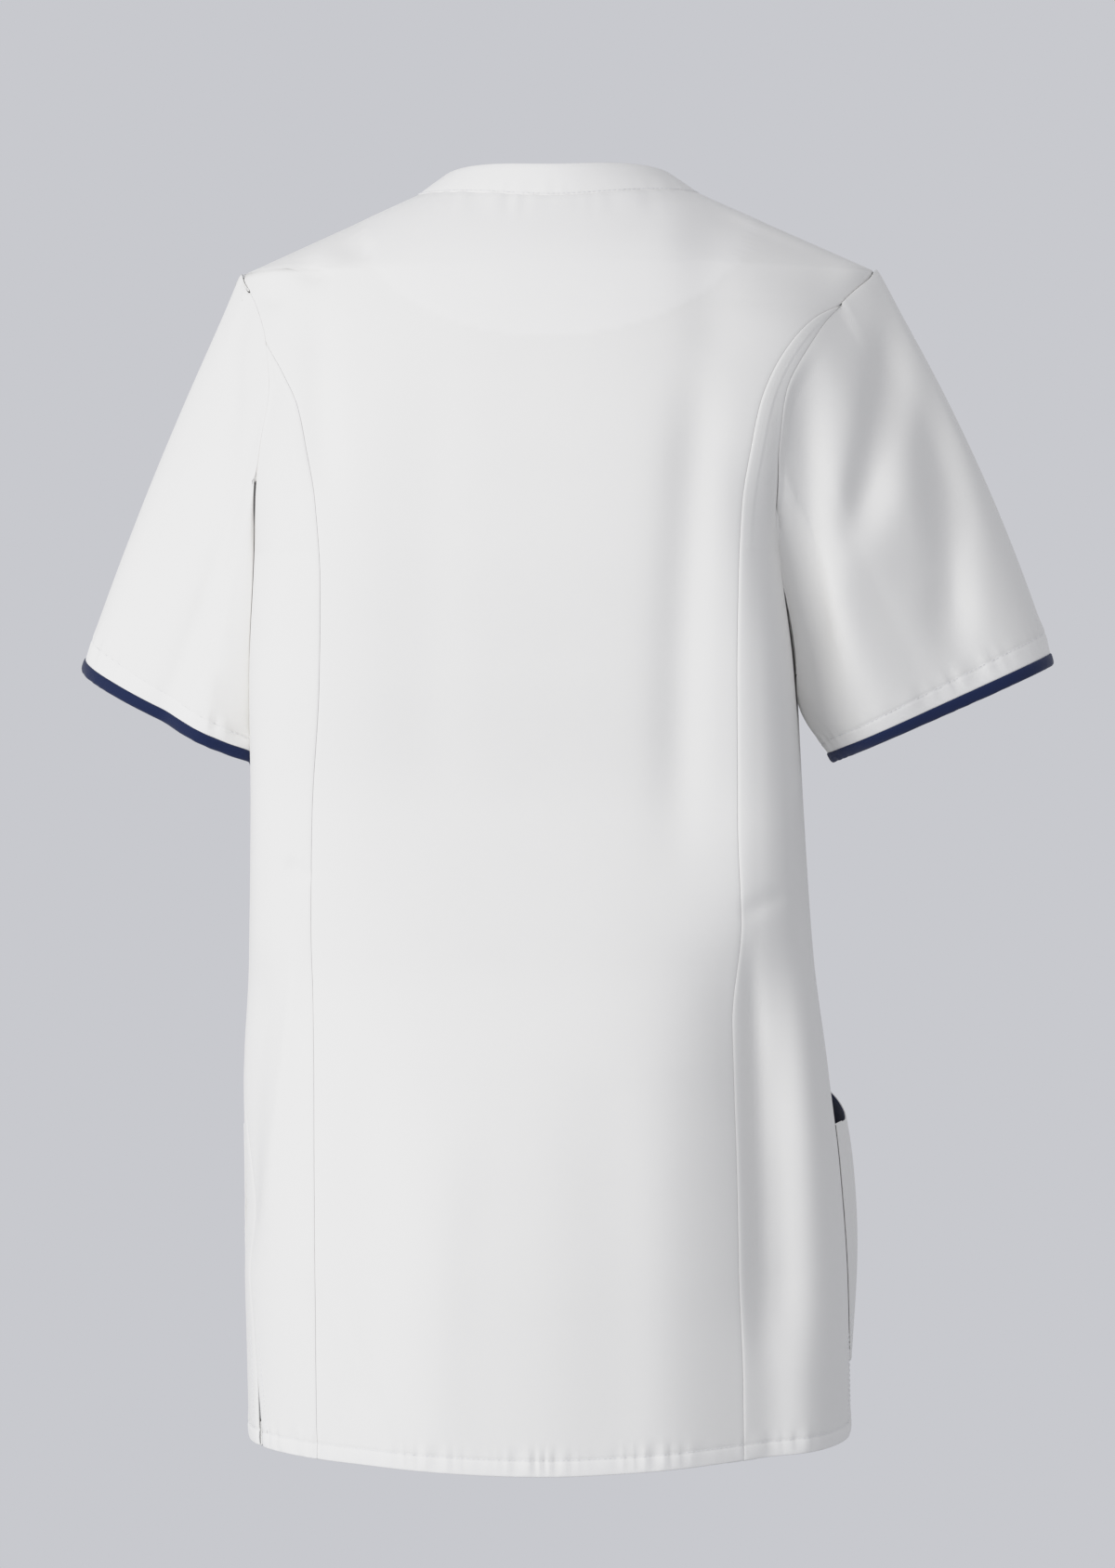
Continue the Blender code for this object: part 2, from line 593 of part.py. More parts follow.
def sleeve_points(name, degrees, along):
    """Points of a sleeve, from the armhole seam at 0 to the edge of the cuff at 1.

    Straight lines join each point of the armhole to its point on the cuff's ellipse. Near the seam
    the cloth first goes on in the panel's direction, over a short rounding of the sleeve head, and
    between the two it swells outward, as far as its fullness lets it.
    """
    cuff = CUFFS[name]
    out, back = cuff_frame(cuff)
    angle = np.radians(degrees)
    behind = degrees <= 180
    back_turn, back_height = armhole(np.where(behind, degrees, 0), cuff.side)
    front_turn, front_height = armhole(np.where(behind, 180, 360 - degrees), cuff.side, front=True)
    turn = np.where(behind, back_turn, front_turn)
    height = np.where(behind, back_height, front_height)
    start = body(turn, height)
    normal = body_normal(turn, height)
    middle = np.array(cuff.middle) * (cuff.side, 1, 1)
    end = (middle + cuff.half_width * np.cos(angle)[:, None] * out
           + cuff.half_depth * np.sin(angle)[:, None] * back)
    run = end - start
    along_seam = np.roll(start, -1, axis=0) - np.roll(start, 1, axis=0)
    onward = np.cross(normal, along_seam)
    onward /= np.linalg.norm(onward, axis=-1, keepdims=True)
    onward *= np.sign(np.sum(onward * out, axis=-1, keepdims=True))
    length = np.linalg.norm(run, axis=-1, keepdims=True)
    fair = np.clip(np.cos(angle) + 0.55, 0, 1)[:, None]
    radial = np.cos(angle)[:, None] * out + np.sin(angle)[:, None] * back

    w = np.asarray(along)[:, None, None]
    points = start + run * w
    points = points + (onward - run / length) * fair * length * w * np.exp(-w / SLEEVE_HEAD_ROUND)
    swell = cuff.swell * (0.4 + 0.6 * np.maximum(0, np.cos(angle)))[:, None]
    points = points + radial * swell * np.sin(math.pi * np.clip(w, 0, 1)) ** 0.8
    for fold in SLEEVE_FOLDS:
        if fold.side == name:
            off = (degrees - fold.degrees + 180) % 360 - 180
            across = np.exp(-(off / fold.half_width) ** 2)[:, None]
            length_share = (w - fold.start) / (fold.end - fold.start)
            fade = ease(length_share / 0.4) * ease((1.2 - length_share) / 0.4)
            points = points - radial * fold.depth * across * fade
    inner = ease((-np.cos(angle) - 0.1) / 0.4)[:, None]
    clearance = SLEEVE_CLEARANCE * ease(w / 0.08)[..., 0] + 3 * SEAM_GAP
    cleared = keep_clear(points, clearance)
    return points + (cleared - points) * inner


def make_sleeve(name):
    """A sleeve: a tube from its armhole to its cuff, and the navy binding round its edge."""
    side = CUFFS[name].side
    degrees = np.linspace(0, 360, 2 * ROWS_ARMHOLE, endpoint=False)
    along = np.concatenate([SLEEVE_ROWS_AT_SEAM, np.linspace(SLEEVE_ROWS_FROM, 1, ROWS_SLEEVE)])
    points = sleeve_points(name, degrees, along)
    if side > 0:
        points = points[:, ::-1]
    grid = points[::-1]
    wall("sleeve_" + name, [grid], WHITE_CLOTH, CLOTH, closed=True)

    edge = grid[0]
    onward = edge - grid[1]
    onward /= np.linalg.norm(onward, axis=1, keepdims=True)
    radial = edge - edge.mean(axis=0)
    radial /= np.linalg.norm(radial, axis=1, keepdims=True)
    ring = edge + radial * (BINDING_CLOTH - CLOTH) / 2
    rows = [ring + onward * (2 * SEAM_GAP + BINDING_HEIGHT * share) for share in (1, 0.5, 0)]
    wall("cuff_binding_" + name, [np.stack(rows)], NAVY_CLOTH, BINDING_CLOTH, closed=True)


# The pockets

def pocket_grid(side, across, up):
    """Turn, height and stand-off of a patch pocket, from its outer edge at 0 and its bottom at 0.

    Its mouth slopes up from the outer edge. It stands off as one soft bulge, which is fullest above
    the middle and leaves the mouth standing open.
    """
    turn = (POCKET_START_LEFT if side > 0 else POCKET_START_RIGHT) + POCKET_WIDTH / POCKET_GIRTH_RADIUS * across
    rise = (POCKET_MOUTH_DROP_INNER - POCKET_MOUTH_DROP_OUTER) * ease(across / POCKET_MOUTH_RISE_BY)
    height = -(POCKET_BOTTOM_DROP + (POCKET_MOUTH_DROP_OUTER + rise - POCKET_BOTTOM_DROP) * up)
    fullness = np.sin(math.pi * np.clip(across, 0, 1)) ** 0.6 * np.sin(math.pi * (0.06 + 0.60 * up)) ** 1.2
    bulge = POCKET_BULGE_LEFT if side > 0 else POCKET_BULGE_RIGHT
    stand_off = LAYER_GAP + CLOTH + bulge * fullness
    signed = turn if side > 0 else 2 * math.pi - turn
    return signed, height, stand_off


def make_pocket(side, name):
    """A patch pocket that stands off the front, and the navy facing down the inside of its mouth."""
    across = np.linspace(0, 1, COLUMNS_POCKET + 1)[None, :]
    up = np.linspace(0, 1, ROWS_POCKET + 1)[:, None]
    turn, height, stand_off = pocket_grid(side, across + 0 * up, up + 0 * across)
    points = body(turn, height) + body_normal(turn, height) * stand_off[..., None]
    wall("pocket_" + name, [points if side > 0 else points[:, ::-1]], WHITE_CLOTH, CLOTH)

    span = across[:, 1:-1]
    rise = up[-2:]
    turn, height, stand_off = pocket_grid(side, span + 0 * rise, rise + 0 * span)
    inside = stand_off - CLOTH - 2 * SEAM_GAP
    points = body(turn, height) + body_normal(turn, height) * inside[..., None]
    wall("pocket_facing_" + name, [points if side > 0 else points[:, ::-1]], NAVY_CLOTH, FACING_CLOTH)


for leftover in list(bpy.data.objects):
    bpy.data.objects.remove(leftover, do_unlink=True)
tunic = bpy.data.collections.new(COLLECTION_NAME)
bpy.context.scene.collection.children.link(tunic)

make_back_centre()
make_back_side(1, "back_side_left")
make_back_side(-1, "back_side_right")
make_front()
make_neckband()
make_back_facing()
for sleeve_side in ("left", "right"):
    make_sleeve(sleeve_side)
make_pocket(1, "left")
make_pocket(-1, "right")
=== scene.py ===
"""The looks of a women's white work tunic, filled out as when it is worn, with nobody in it.

The camera stands behind it, as in the photograph. Units are metres and +Z is up. The wearer faces -Y,
and the wearer's left is +X. A place on the body of the tunic is given by a turn, the angle round it
from the centre back, positive toward the wearer's left, and by a drop, the depth below the neck.
"""
import math
from collections import namedtuple

import bmesh
import bpy
import numpy as np
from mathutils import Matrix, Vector


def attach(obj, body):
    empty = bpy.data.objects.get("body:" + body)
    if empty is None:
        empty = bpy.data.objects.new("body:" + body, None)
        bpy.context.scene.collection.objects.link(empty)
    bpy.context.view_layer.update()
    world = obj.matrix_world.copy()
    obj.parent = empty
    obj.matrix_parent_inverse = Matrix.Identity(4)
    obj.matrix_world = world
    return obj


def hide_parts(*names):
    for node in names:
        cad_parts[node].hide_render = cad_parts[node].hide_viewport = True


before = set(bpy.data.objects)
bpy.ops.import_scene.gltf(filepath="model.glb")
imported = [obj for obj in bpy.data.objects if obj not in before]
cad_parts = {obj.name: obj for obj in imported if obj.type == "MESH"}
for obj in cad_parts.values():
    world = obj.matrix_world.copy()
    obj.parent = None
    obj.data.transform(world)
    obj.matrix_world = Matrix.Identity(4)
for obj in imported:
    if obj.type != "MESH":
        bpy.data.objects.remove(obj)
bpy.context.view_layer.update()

# The centre back panel
# A single layer of white polyester and cotton twill from the neckline to the hem, cut in one piece
# between two princess seams. It is sewn to the side panels, and its hem is turned up and topstitched.

CLOTH = 0.0006
NECK_HALF_WIDTH = 0.0865
BACK_NECK_DROP = 0.0058
SHOULDER_DROP = 0.0485
SHOULDER_HALF_WIDTH = 0.1940
UNDERARM_DROP = 0.2220
HEM_DROP = 0.7665
HEM_LIFT_RIGHT = 0.0110
HEM_LIFT_LEFT = 0.0085
HEM_DEPTH = 0.0098
FACING_HALF_WIDTH = 0.1200
FACING_DROP = 0.0950
FACING_END_DROP = SHOULDER_DROP * (
    (FACING_HALF_WIDTH - NECK_HALF_WIDTH) / (SHOULDER_HALF_WIDTH - NECK_HALF_WIDTH))

# The body, level by level: the middle's shift to the left, the half width, and the depths.
Section = namedtuple("Section", "drop sway half_width back front squareness")
SECTIONS = (
    Section(0.000, 0.0020, 0.0865, 0.0440, 0.0500, 2.00),
    Section(0.048, 0.0020, 0.1940, 0.0800, 0.0780, 2.10),
    Section(0.085, 0.0075, 0.1900, 0.0960, 0.0930, 2.40),
    Section(0.125, 0.0150, 0.1800, 0.1070, 0.1080, 3.00),
    Section(0.170, 0.0210, 0.1680, 0.1130, 0.1220, 3.70),
    Section(0.215, 0.0237, 0.1600, 0.1140, 0.1330, 4.20),
    Section(0.290, 0.0221, 0.1650, 0.1060, 0.1340, 4.20),
    Section(0.380, 0.0199, 0.1679, 0.0930, 0.1170, 3.80),
    Section(0.465, 0.0180, 0.1720, 0.0940, 0.1080, 3.10),
    Section(0.534, 0.0156, 0.1786, 0.1080, 0.1130, 2.60),
    Section(0.595, 0.0118, 0.1820, 0.1190, 0.1190, 2.45),
    Section(0.666, 0.0090, 0.1840, 0.1240, 0.1220, 2.40),
    Section(0.780, 0.0065, 0.1835, 0.1240, 0.1230, 2.40),
)

# The armholes: how far out the seam lies, as a share of the body's half width, from the shoulder tip
# at 0 degrees to the underarm at 180 degrees.
Armhole = namedtuple("Armhole", "degrees back front")
ARMHOLE = (
    Armhole(0, 1.000, 1.000),
    Armhole(20, 0.985, 0.975),
    Armhole(40, 0.930, 0.905),
    Armhole(60, 0.880, 0.845),
    Armhole(80, 0.862, 0.815),
    Armhole(105, 0.910, 0.820),
    Armhole(130, 0.960, 0.865),
    Armhole(155, 0.988, 0.945),
    Armhole(180, 1.000, 1.000),
)

# The princess seams: their distance from the middle of the neck, each side.
Princess = namedtuple("Princess", "drop left right")
PRINCESS = (
    Princess(0.060, 0.2000, 0.1900),
    Princess(0.072, 0.1900, 0.1715),
    Princess(0.080, 0.1820, 0.1580),
    Princess(0.095, 0.1735, 0.1440),
    Princess(0.115, 0.1610, 0.1320),
    Princess(0.135, 0.1510, 0.1245),
    Princess(0.160, 0.1450, 0.1195),
    Princess(0.195, 0.1385, 0.1140),
    Princess(0.240, 0.1355, 0.1120),
    Princess(0.300, 0.1370, 0.1110),
    Princess(0.380, 0.1430, 0.1110),
    Princess(0.450, 0.1440, 0.1130),
    Princess(0.540, 0.1415, 0.1130),
    Princess(0.780, 0.1385, 0.1150),
)

# The long folds of the body: a run from one turn and drop to another. A ridge has a negative depth.
Fold = namedtuple("Fold", "turn_top drop_top turn_low drop_low half_width depth")
FOLDS = (
    Fold(69, 0.450, 77, 0.620, 0.022, 0.0060),
    Fold(-62, 0.440, -61, 0.660, 0.026, 0.0080),
    Fold(150, 0.300, 146, 0.800, 0.034, 0.0045),
    Fold(212, 0.300, 216, 0.800, 0.034, 0.0045),
    Fold(172, 0.420, 170, 0.800, 0.034, -0.0040),
    Fold(192, 0.480, 194, 0.800, 0.030, 0.0035),
)

# Creases seen on the back: each runs between two places, given by x and drop. bow is how far its middle
# bends toward +X or down. before and after are its half widths on its -X or upper side and on the other.
Crease = namedtuple("Crease", "x_top drop_top x_low drop_low bow before after depth")
BACK_CREASES = (
    Crease(-0.0940, 0.075, -0.0760, 0.430, 0.0050, 0.0140, 0.0150, 0.0046),
    Crease(-0.0875, 0.005, -0.0975, 0.120, -0.0010, 0.0180, 0.0160, 0.0022),
    Crease(-0.1760, 0.062, -0.1330, 0.200, 0.0090, 0.0110, 0.0300, -0.0070),
    Crease(-0.1400, 0.145, -0.1390, 0.480, 0.0000, 0.0060, 0.0380, -0.0130),
    Crease(-0.0700, 0.010, -0.2000, 0.059, 0.0000, 0.0100, 0.0260, 0.0075),
    Crease(0.0660, 0.060, 0.0700, 0.420, 0.0050, 0.0220, 0.0280, 0.0016),
    Crease(0.1380, 0.060, 0.1300, 0.200, 0.0030, 0.0100, 0.0120, 0.0042),
    Crease(0.1600, 0.042, 0.1340, 0.057, 0.0010, 0.0060, 0.0070, 0.0036),
    Crease(0.1840, 0.056, 0.1620, 0.071, 0.0010, 0.0060, 0.0070, 0.0036),
    Crease(0.1340, 0.031, 0.1100, 0.042, 0.0010, 0.0060, 0.0070, 0.0024),
    Crease(0.1590, 0.404, 0.1430, 0.420, 0.0010, 0.0050, 0.0060, 0.0022),
    Crease(-0.1440, 0.4245, -0.1100, 0.4400, 0.0010, 0.0050, 0.0060, 0.0018),
    Crease(-0.1240, 0.420, -0.1280, 0.900, 0.0000, 0.0200, 0.0450, 0.0120),
    Crease(-0.1165, 0.425, -0.1250, 0.720, 0.0000, 0.0070, 0.0050, 0.0045),
    Crease(-0.1560, 0.430, -0.1600, 0.860, 0.0000, 0.0160, 0.0160, -0.0035),
    Crease(0.1530, 0.430, 0.1800, 0.640, -0.0030, 0.0060, 0.0040, -0.0026),
    Crease(0.1090, 0.470, 0.1060, 0.860, 0.0040, 0.0200, 0.0260, 0.0022),
    Crease(0.0560, 0.530, 0.0640, 0.800, 0.0060, 0.0200, 0.0260, -0.0020),
    Crease(-0.0300, 0.480, -0.0380, 0.860, -0.0060, 0.0240, 0.0300, 0.0028),
    Crease(0.1500, 0.640, 0.1020, 0.745, 0.0040, 0.0070, 0.0090, 0.0014),
    Crease(0.1250, 0.660, 0.0850, 0.760, 0.0030, 0.0060, 0.0090, -0.0012),
)
FRONT_CREASES = (
    Crease(0.0920, 0.110, 0.070, 0.420, 0.0100, 0.0180, 0.0220, 0.0030),
    Crease(-0.0940, 0.100, -0.066, 0.400, -0.0120, 0.0200, 0.0180, 0.0032),
    Crease(0.0300, 0.270, 0.044, 0.520, -0.0060, 0.0200, 0.0240, 0.0020),
    Crease(-0.0360, 0.300, -0.050, 0.560, 0.0080, 0.0220, 0.0180, 0.0022),
)


def smooth(xs, ys, x):
    """Read a table at x by cubics whose slopes are harmonic means, so that none overshoots its rows."""
    xs = np.asarray(xs, float)
    ys = np.asarray(ys, float)
    widths = np.diff(xs)
    rises = np.diff(ys) / widths
    before, after = rises[:-1], rises[1:]
    same_sign = before * after > 0
    slopes = np.empty_like(ys)
    slopes[0], slopes[-1] = rises[0], rises[-1]
    slopes[1:-1] = np.where(same_sign, 2 * before * after / np.where(same_sign, before + after, 1), 0)
    x = np.clip(x, xs[0], xs[-1])
    i = np.clip(np.searchsorted(xs, x, side="right") - 1, 0, len(widths) - 1)
    t = (x - xs[i]) / widths[i]
    return ((1 + 2 * t) * (1 - t) ** 2 * ys[i] + t * (1 - t) ** 2 * widths[i] * slopes[i]
            + t * t * (3 - 2 * t) * ys[i + 1] - t * t * (1 - t) * widths[i] * slopes[i + 1])


def column(table, name, x):
    """Read one named column of a table, whose first column is its key, at x."""
    keys = [row[0] for row in table]
    return smooth(keys, [getattr(row, name) for row in table], x)


def ease(x):
    """Rise from 0 to 1 as x does, level at both ends: 3x^2 - 2x^3."""
    x = np.clip(x, 0, 1)
    return x * x * (3 - 2 * x)


def bell(x):
    """A bump of height 1 about zero: exp(-x^2)."""
    return np.exp(-x ** 2)


def half_width(drop):
    """Half width of the body: straight along the shoulder seam, then read from the sections."""
    along_shoulder = NECK_HALF_WIDTH + (SHOULDER_HALF_WIDTH - NECK_HALF_WIDTH) * drop / SHOULDER_DROP
    below = column(SECTIONS, "half_width", np.maximum(drop, SECTIONS[1].drop))
    return np.where(drop < SHOULDER_DROP, along_shoulder, below)


def fold_depth(turn, drop, radius):
    """How far the long folds draw the cloth in: a bell across each run, fading toward its ends."""
    total = np.zeros(np.broadcast(turn, drop).shape)
    for fold in FOLDS:
        along = (drop - fold.drop_top) / (fold.drop_low - fold.drop_top)
        middle = np.radians(fold.turn_top + (fold.turn_low - fold.turn_top) * np.clip(along, 0, 1))
        off = (turn - middle + math.pi) % (2 * math.pi) - math.pi
        across = off * radius / fold.half_width
        total += fold.depth * bell(across) * ease(along / 0.3) * ease((1.25 - along) / 0.3)
    return total


def body(turn, drop):
    """Points on the body. Each level is a superellipse |x/a|^n + |y/b|^n = 1 about its own middle."""
    drop = np.asarray(drop, float)
    turn = np.asarray(turn, float)
    a = half_width(drop)
    n = column(SECTIONS, "squareness", drop)
    b = np.where(np.cos(turn) > 0, column(SECTIONS, "back", drop), column(SECTIONS, "front", drop))
    radius = (np.abs(np.sin(turn) / a) ** n + np.abs(np.cos(turn) / b) ** n) ** (-1 / n)
    radius = radius - fold_depth(turn, drop, radius)
    x = column(SECTIONS, "sway", drop) + radius * np.sin(turn)
    return np.stack([x, radius * np.cos(turn), -drop + 0 * turn], axis=-1)


def unit(vectors):
    """The same directions, each at length 1."""
    return vectors / np.linalg.norm(vectors, axis=-1, keepdims=True)


def body_normal(turn, drop):
    """Outward normals of the body, from the cross product of its two slopes."""
    step = 1e-4
    round_it = body(turn + step, drop) - body(turn - step, drop)
    up_it = body(turn, drop - step) - body(turn, drop + step)
    return unit(np.cross(up_it, round_it))


def crease_depth(x, drop, creases):
    """How far creases draw the cloth in at each x and drop.

    A crease follows its chord, bent by bow * 4t(1 - t), t being the share of the way along it. Its
    section is a bell with a half width for each side, and its depth eases to nothing at both ends.
    """
    total = np.zeros(np.broadcast(x, drop).shape)
    for crease in creases:
        run = np.array([crease.x_low - crease.x_top, crease.drop_low - crease.drop_top])
        length = np.hypot(*run)
        run = run / length
        aside = np.array([run[1], -run[0]])
        from_x, from_drop = x - crease.x_top, drop - crease.drop_top
        t = (from_x * run[0] + from_drop * run[1]) / length
        off = from_x * aside[0] + from_drop * aside[1] - crease.bow * 4 * t * (1 - t)
        width = np.where(off < 0, crease.before, crease.after)
        total += crease.depth * bell(off / width) * ease(t / 0.3) * ease((1 - t) / 0.3)
    return total


def skin(turn, drop, inward=0.0):
    """Points on the outside of the creased body, moved inward by some depth along its normal.

    The creases draw the cloth straight in, along Y, and fade where the body turns side on.
    """
    points = body(turn, drop)
    facing = np.cos(turn)
    depth_y = (crease_depth(points[..., 0], drop, BACK_CREASES) * ease(facing / 0.3)
               - crease_depth(points[..., 0], drop, FRONT_CREASES) * ease(-facing / 0.3))
    points[..., 1] -= depth_y
    return points - body_normal(turn, drop) * np.asarray(inward)[..., None]


def turn_at(share, drop, front=False):
    """The turn at which the body is this share of its half width out from its middle."""
    n = column(SECTIONS, "squareness", drop)
    a = half_width(drop)
    depth = column(SECTIONS, "front" if front else "back", drop)
    y = depth * np.maximum(1 - np.abs(share) ** n, 0) ** (1 / n)
    return np.arctan2(share * a, -y if front else y)


def armhole(degrees, side, front=False):
    """Turn and drop of an armhole seam, from the shoulder tip at 0 to the underarm at 180 degrees."""
    share = column(ARMHOLE, "front" if front else "back", degrees)
    drop = SHOULDER_DROP + (UNDERARM_DROP - SHOULDER_DROP) * (1 - np.cos(np.radians(degrees))) / 2
    return side * turn_at(share, drop, front) % (2 * math.pi), drop


def armhole_edge(drop, side):
    """Turn of the back's outer edge above the underarm: the shoulder seam, then the armhole seam."""
    fall = (drop - SHOULDER_DROP) / (UNDERARM_DROP - SHOULDER_DROP)
    degrees = np.degrees(np.arccos(np.clip(1 - 2 * fall, -1, 1)))
    share = np.where(drop < SHOULDER_DROP, 1.0, column(ARMHOLE, "back", degrees))
    return side * np.minimum(turn_at(share, drop), math.pi / 2)


def princess_turn(drop, side):
    """Turn of a princess seam at this drop."""
    distance = column(PRINCESS, "left" if side > 0 else "right", drop)
    share = (distance - side * column(SECTIONS, "sway", drop)) / half_width(drop)
    return side * turn_at(np.minimum(share, 1), drop)


def princess_top(side):
    """The drop at which a princess seam runs into the armhole seam, found by halving."""
    high, low = SHOULDER_DROP, 0.15
    for _ in range(30):
        middle = (high + low) / 2
        if abs(princess_turn(middle, side)) > abs(armhole_edge(middle, side)):
            high = middle
        else:
            low = middle
    return middle


def to_hem(drop, turn):
    """Shift drops so that the lowest row of a panel follows the hem, which rides up at the sides."""
    lift = np.where(np.sin(turn) > 0, HEM_LIFT_LEFT, HEM_LIFT_RIGHT) * np.sin(turn) ** 2
    return drop - lift * np.clip(drop / HEM_DROP, 0, 1) ** 6


# A cut edge, from the end of its allowance round to the face: how far from the seam, and how deep. The
# first rows of a seam's edge are hidden inside.
Edge = namedtuple("Edge", "off depth")
SEAM_EDGE = (Edge(0.0090, 0.0024), Edge(0.0012, 0.0024), Edge(0.0, 0.0018), Edge(0.0, 0.0011),
             Edge(0.0004, 0.00080), Edge(0.0009, 0.00052), Edge(0.0016, 0.00028), Edge(0.0026, 0.0001),
             Edge(0.0042, 0.0))
HIDDEN_ROWS = 3
HEM_EDGE = (Edge(0.0150, 0.0019), Edge(0.0014, 0.0019), Edge(0.0004, 0.0016), Edge(0.0, 0.0011),
            Edge(0.0, 0.0006), Edge(0.0003, 0.0002), Edge(0.0009, 0.0))


def hem_rows(fine_to=0.024, coarse=0.0032, top=1.0):
    """Heights above the hem of the rows of a panel, and how deep each lies.

    They go round the turned-up edge, then close together past the topstitching, then coarser.
    """
    low = [edge.off for edge in HEM_EDGE]
    face = np.concatenate([np.arange(0.0020, fine_to, 0.0011), np.arange(fine_to, top, coarse)])
    depth = [edge.depth for edge in HEM_EDGE] + [0.0] * len(face)
    return np.concatenate([low, face]), np.array(depth)


def seam_depths(press):
    """The depths of a seam's edge, row by row, where its visible part is this share of a full seam's."""
    visible = np.arange(len(SEAM_EDGE)) >= HIDDEN_ROWS
    share = np.where(visible, np.asarray(press, float)[..., None], 1.0)
    return share * np.array([row.depth for row in SEAM_EDGE])


def across_panel(left, right, drop, count, left_press=1.0, right_press=1.0):
    """Turns and depths of a panel's columns, row by row, between a left and a right edge.

    Each edge has its turned-in columns. Their distances become turns by the body's girth there. Where a
    seam is pressed flat, its depth is a smaller share of the full one.
    """
    step = 1e-3
    turns, depths = [], []
    for edge, press, sign in ((left, left_press, 1), (right, right_press, -1)):
        pace = np.linalg.norm(body(edge + step, drop) - body(edge, drop), axis=-1) / step
        room = np.minimum(1, 0.45 * np.abs(right - left) * pace / SEAM_EDGE[-1].off)
        off = np.array([row.off for row in SEAM_EDGE])[None, :] * room[:, None]
        turns.append(edge[:, None] + sign * off / pace[:, None])
        depths.append(seam_depths(press + 0 * edge))
    inner = np.linspace(0, 1, count + 1)[1:-1]
    middle = turns[0][:, -1:] + (turns[1][:, -1:] - turns[0][:, -1:]) * inner
    turn = np.concatenate([turns[0], middle, turns[1][:, ::-1]], axis=1)
    depth = np.concatenate([depths[0], 0 * middle, depths[1][:, ::-1]], axis=1)
    return turn, depth


def ripple(along, pitch, seed):
    """An uneven wave between -1 and 1: a sine whose phase and height drift with two slower sines."""
    phase = 2 * math.pi * along / pitch
    drift = 1.6 * np.sin(phase * 0.31 + seed) + 0.9 * np.sin(phase * 0.173 + 2.3 * seed)
    return np.sin(phase + drift) * (0.55 + 0.45 * np.sin(phase * 0.117 + 1.7 * seed))


# The hem's sewing: the radius by which a turn becomes a distance along it, the groove that stitches
# press in, the fullness of the cloth below them, and the puckers beside them with their two widths.
HEM_RADIUS = 0.15
GROOVE_HALF_WIDTH = 0.0009
HEM_GROOVE = 0.00050
HEM_FULLNESS = 0.00022
HEM_PUCKER = 0.00085
HEM_PUCKER_PITCH = 0.0092
HEM_PUCKER_SEED = 1.0
HEM_PUCKERS_BELOW = 0.0085
HEM_PUCKERS_ABOVE = 0.0065


def hem_sewing(up, turn):
    """How deep the topstitching draws in a hem: a groove on its line, and puckers on both sides of it.

    Between it and the edge the cloth is slightly full. All of this fades out at the edge itself.
    """
    groove = HEM_GROOVE * bell((up - HEM_DEPTH) / GROOVE_HALF_WIDTH)
    fullness = -HEM_FULLNESS * bell((up - HEM_DEPTH / 2) / (HEM_DEPTH / 3))
    spread = np.where(up < HEM_DEPTH, HEM_PUCKERS_BELOW, HEM_PUCKERS_ABOVE)
    wave = ripple(turn * HEM_RADIUS, HEM_PUCKER_PITCH, HEM_PUCKER_SEED)
    puckers = HEM_PUCKER * wave * bell((up - HEM_DEPTH) / spread)
    return (groove + fullness + puckers) * ease(up / 0.002)


def node_group(name, inputs, outputs):
    """A new shader node group with the named sockets, given as (name, type, default)."""
    group = bpy.data.node_groups.new(name, "ShaderNodeTree")
    for label, kind, value in inputs:
        socket = group.interface.new_socket(name=label, in_out="INPUT", socket_type=kind)
        if value is not None:
            socket.default_value = value
    for label, kind in outputs:
        group.interface.new_socket(name=label, in_out="OUTPUT", socket_type=kind)
    return group, group.nodes.new("NodeGroupInput"), group.nodes.new("NodeGroupOutput")


def calculate(tree, operation, *values):
    """A Math node whose inputs are sockets or numbers. Returns its output."""
    node = tree.nodes.new("ShaderNodeMath")
    node.operation = operation
    for socket, value in zip(node.inputs, values):
        if isinstance(value, bpy.types.NodeSocket):
            tree.links.new(value, socket)
        else:
            socket.default_value = value
    return node.outputs[0]


def make_twill_group():
    """Twill in the cloth's own UV metres: diagonal ribs, crossed by threads, over a soft uneven nap."""
    group, given, result = node_group(
        "twill_weave",
        [("UV", "NodeSocketVector", None), ("Ribs", "NodeSocketFloat", 1500.0),
         ("Nap", "NodeSocketFloat", 0.35)],
        [("Height", "NodeSocketFloat"), ("Slub", "NodeSocketFloat")])
    parts = group.nodes.new("ShaderNodeSeparateXYZ")
    group.links.new(given.outputs["UV"], parts.inputs[0])
    u = calculate(group, "MULTIPLY", parts.outputs[0], given.outputs["Ribs"])
    v = calculate(group, "MULTIPLY", parts.outputs[1], given.outputs["Ribs"])
    diagonal = calculate(group, "ADD", calculate(group, "MULTIPLY", u, 0.82), v)
    rib = calculate(group, "SINE", calculate(group, "MULTIPLY", diagonal, 2 * math.pi))
    thread = calculate(group, "SINE", calculate(group, "MULTIPLY", u, 4 * math.pi))
    nap = group.nodes.new("ShaderNodeTexNoise")
    nap.inputs["Scale"].default_value = 900.0
    nap.inputs["Detail"].default_value = 3.0
    group.links.new(given.outputs["UV"], nap.inputs["Vector"])
    woven = calculate(group, "ADD", rib, calculate(group, "MULTIPLY", thread, 0.35))
    fuzz = calculate(group, "MULTIPLY", nap.outputs["Fac"], given.outputs["Nap"])
    group.links.new(calculate(group, "ADD", woven, fuzz), result.inputs["Height"])
    slub = group.nodes.new("ShaderNodeTexNoise")
    slub.inputs["Scale"].default_value = 38.0
    slub.inputs["Detail"].default_value = 4.0
    group.links.new(given.outputs["UV"], slub.inputs["Vector"])
    group.links.new(slub.outputs["Fac"], result.inputs["Slub"])
    return group


TWILL = make_twill_group()


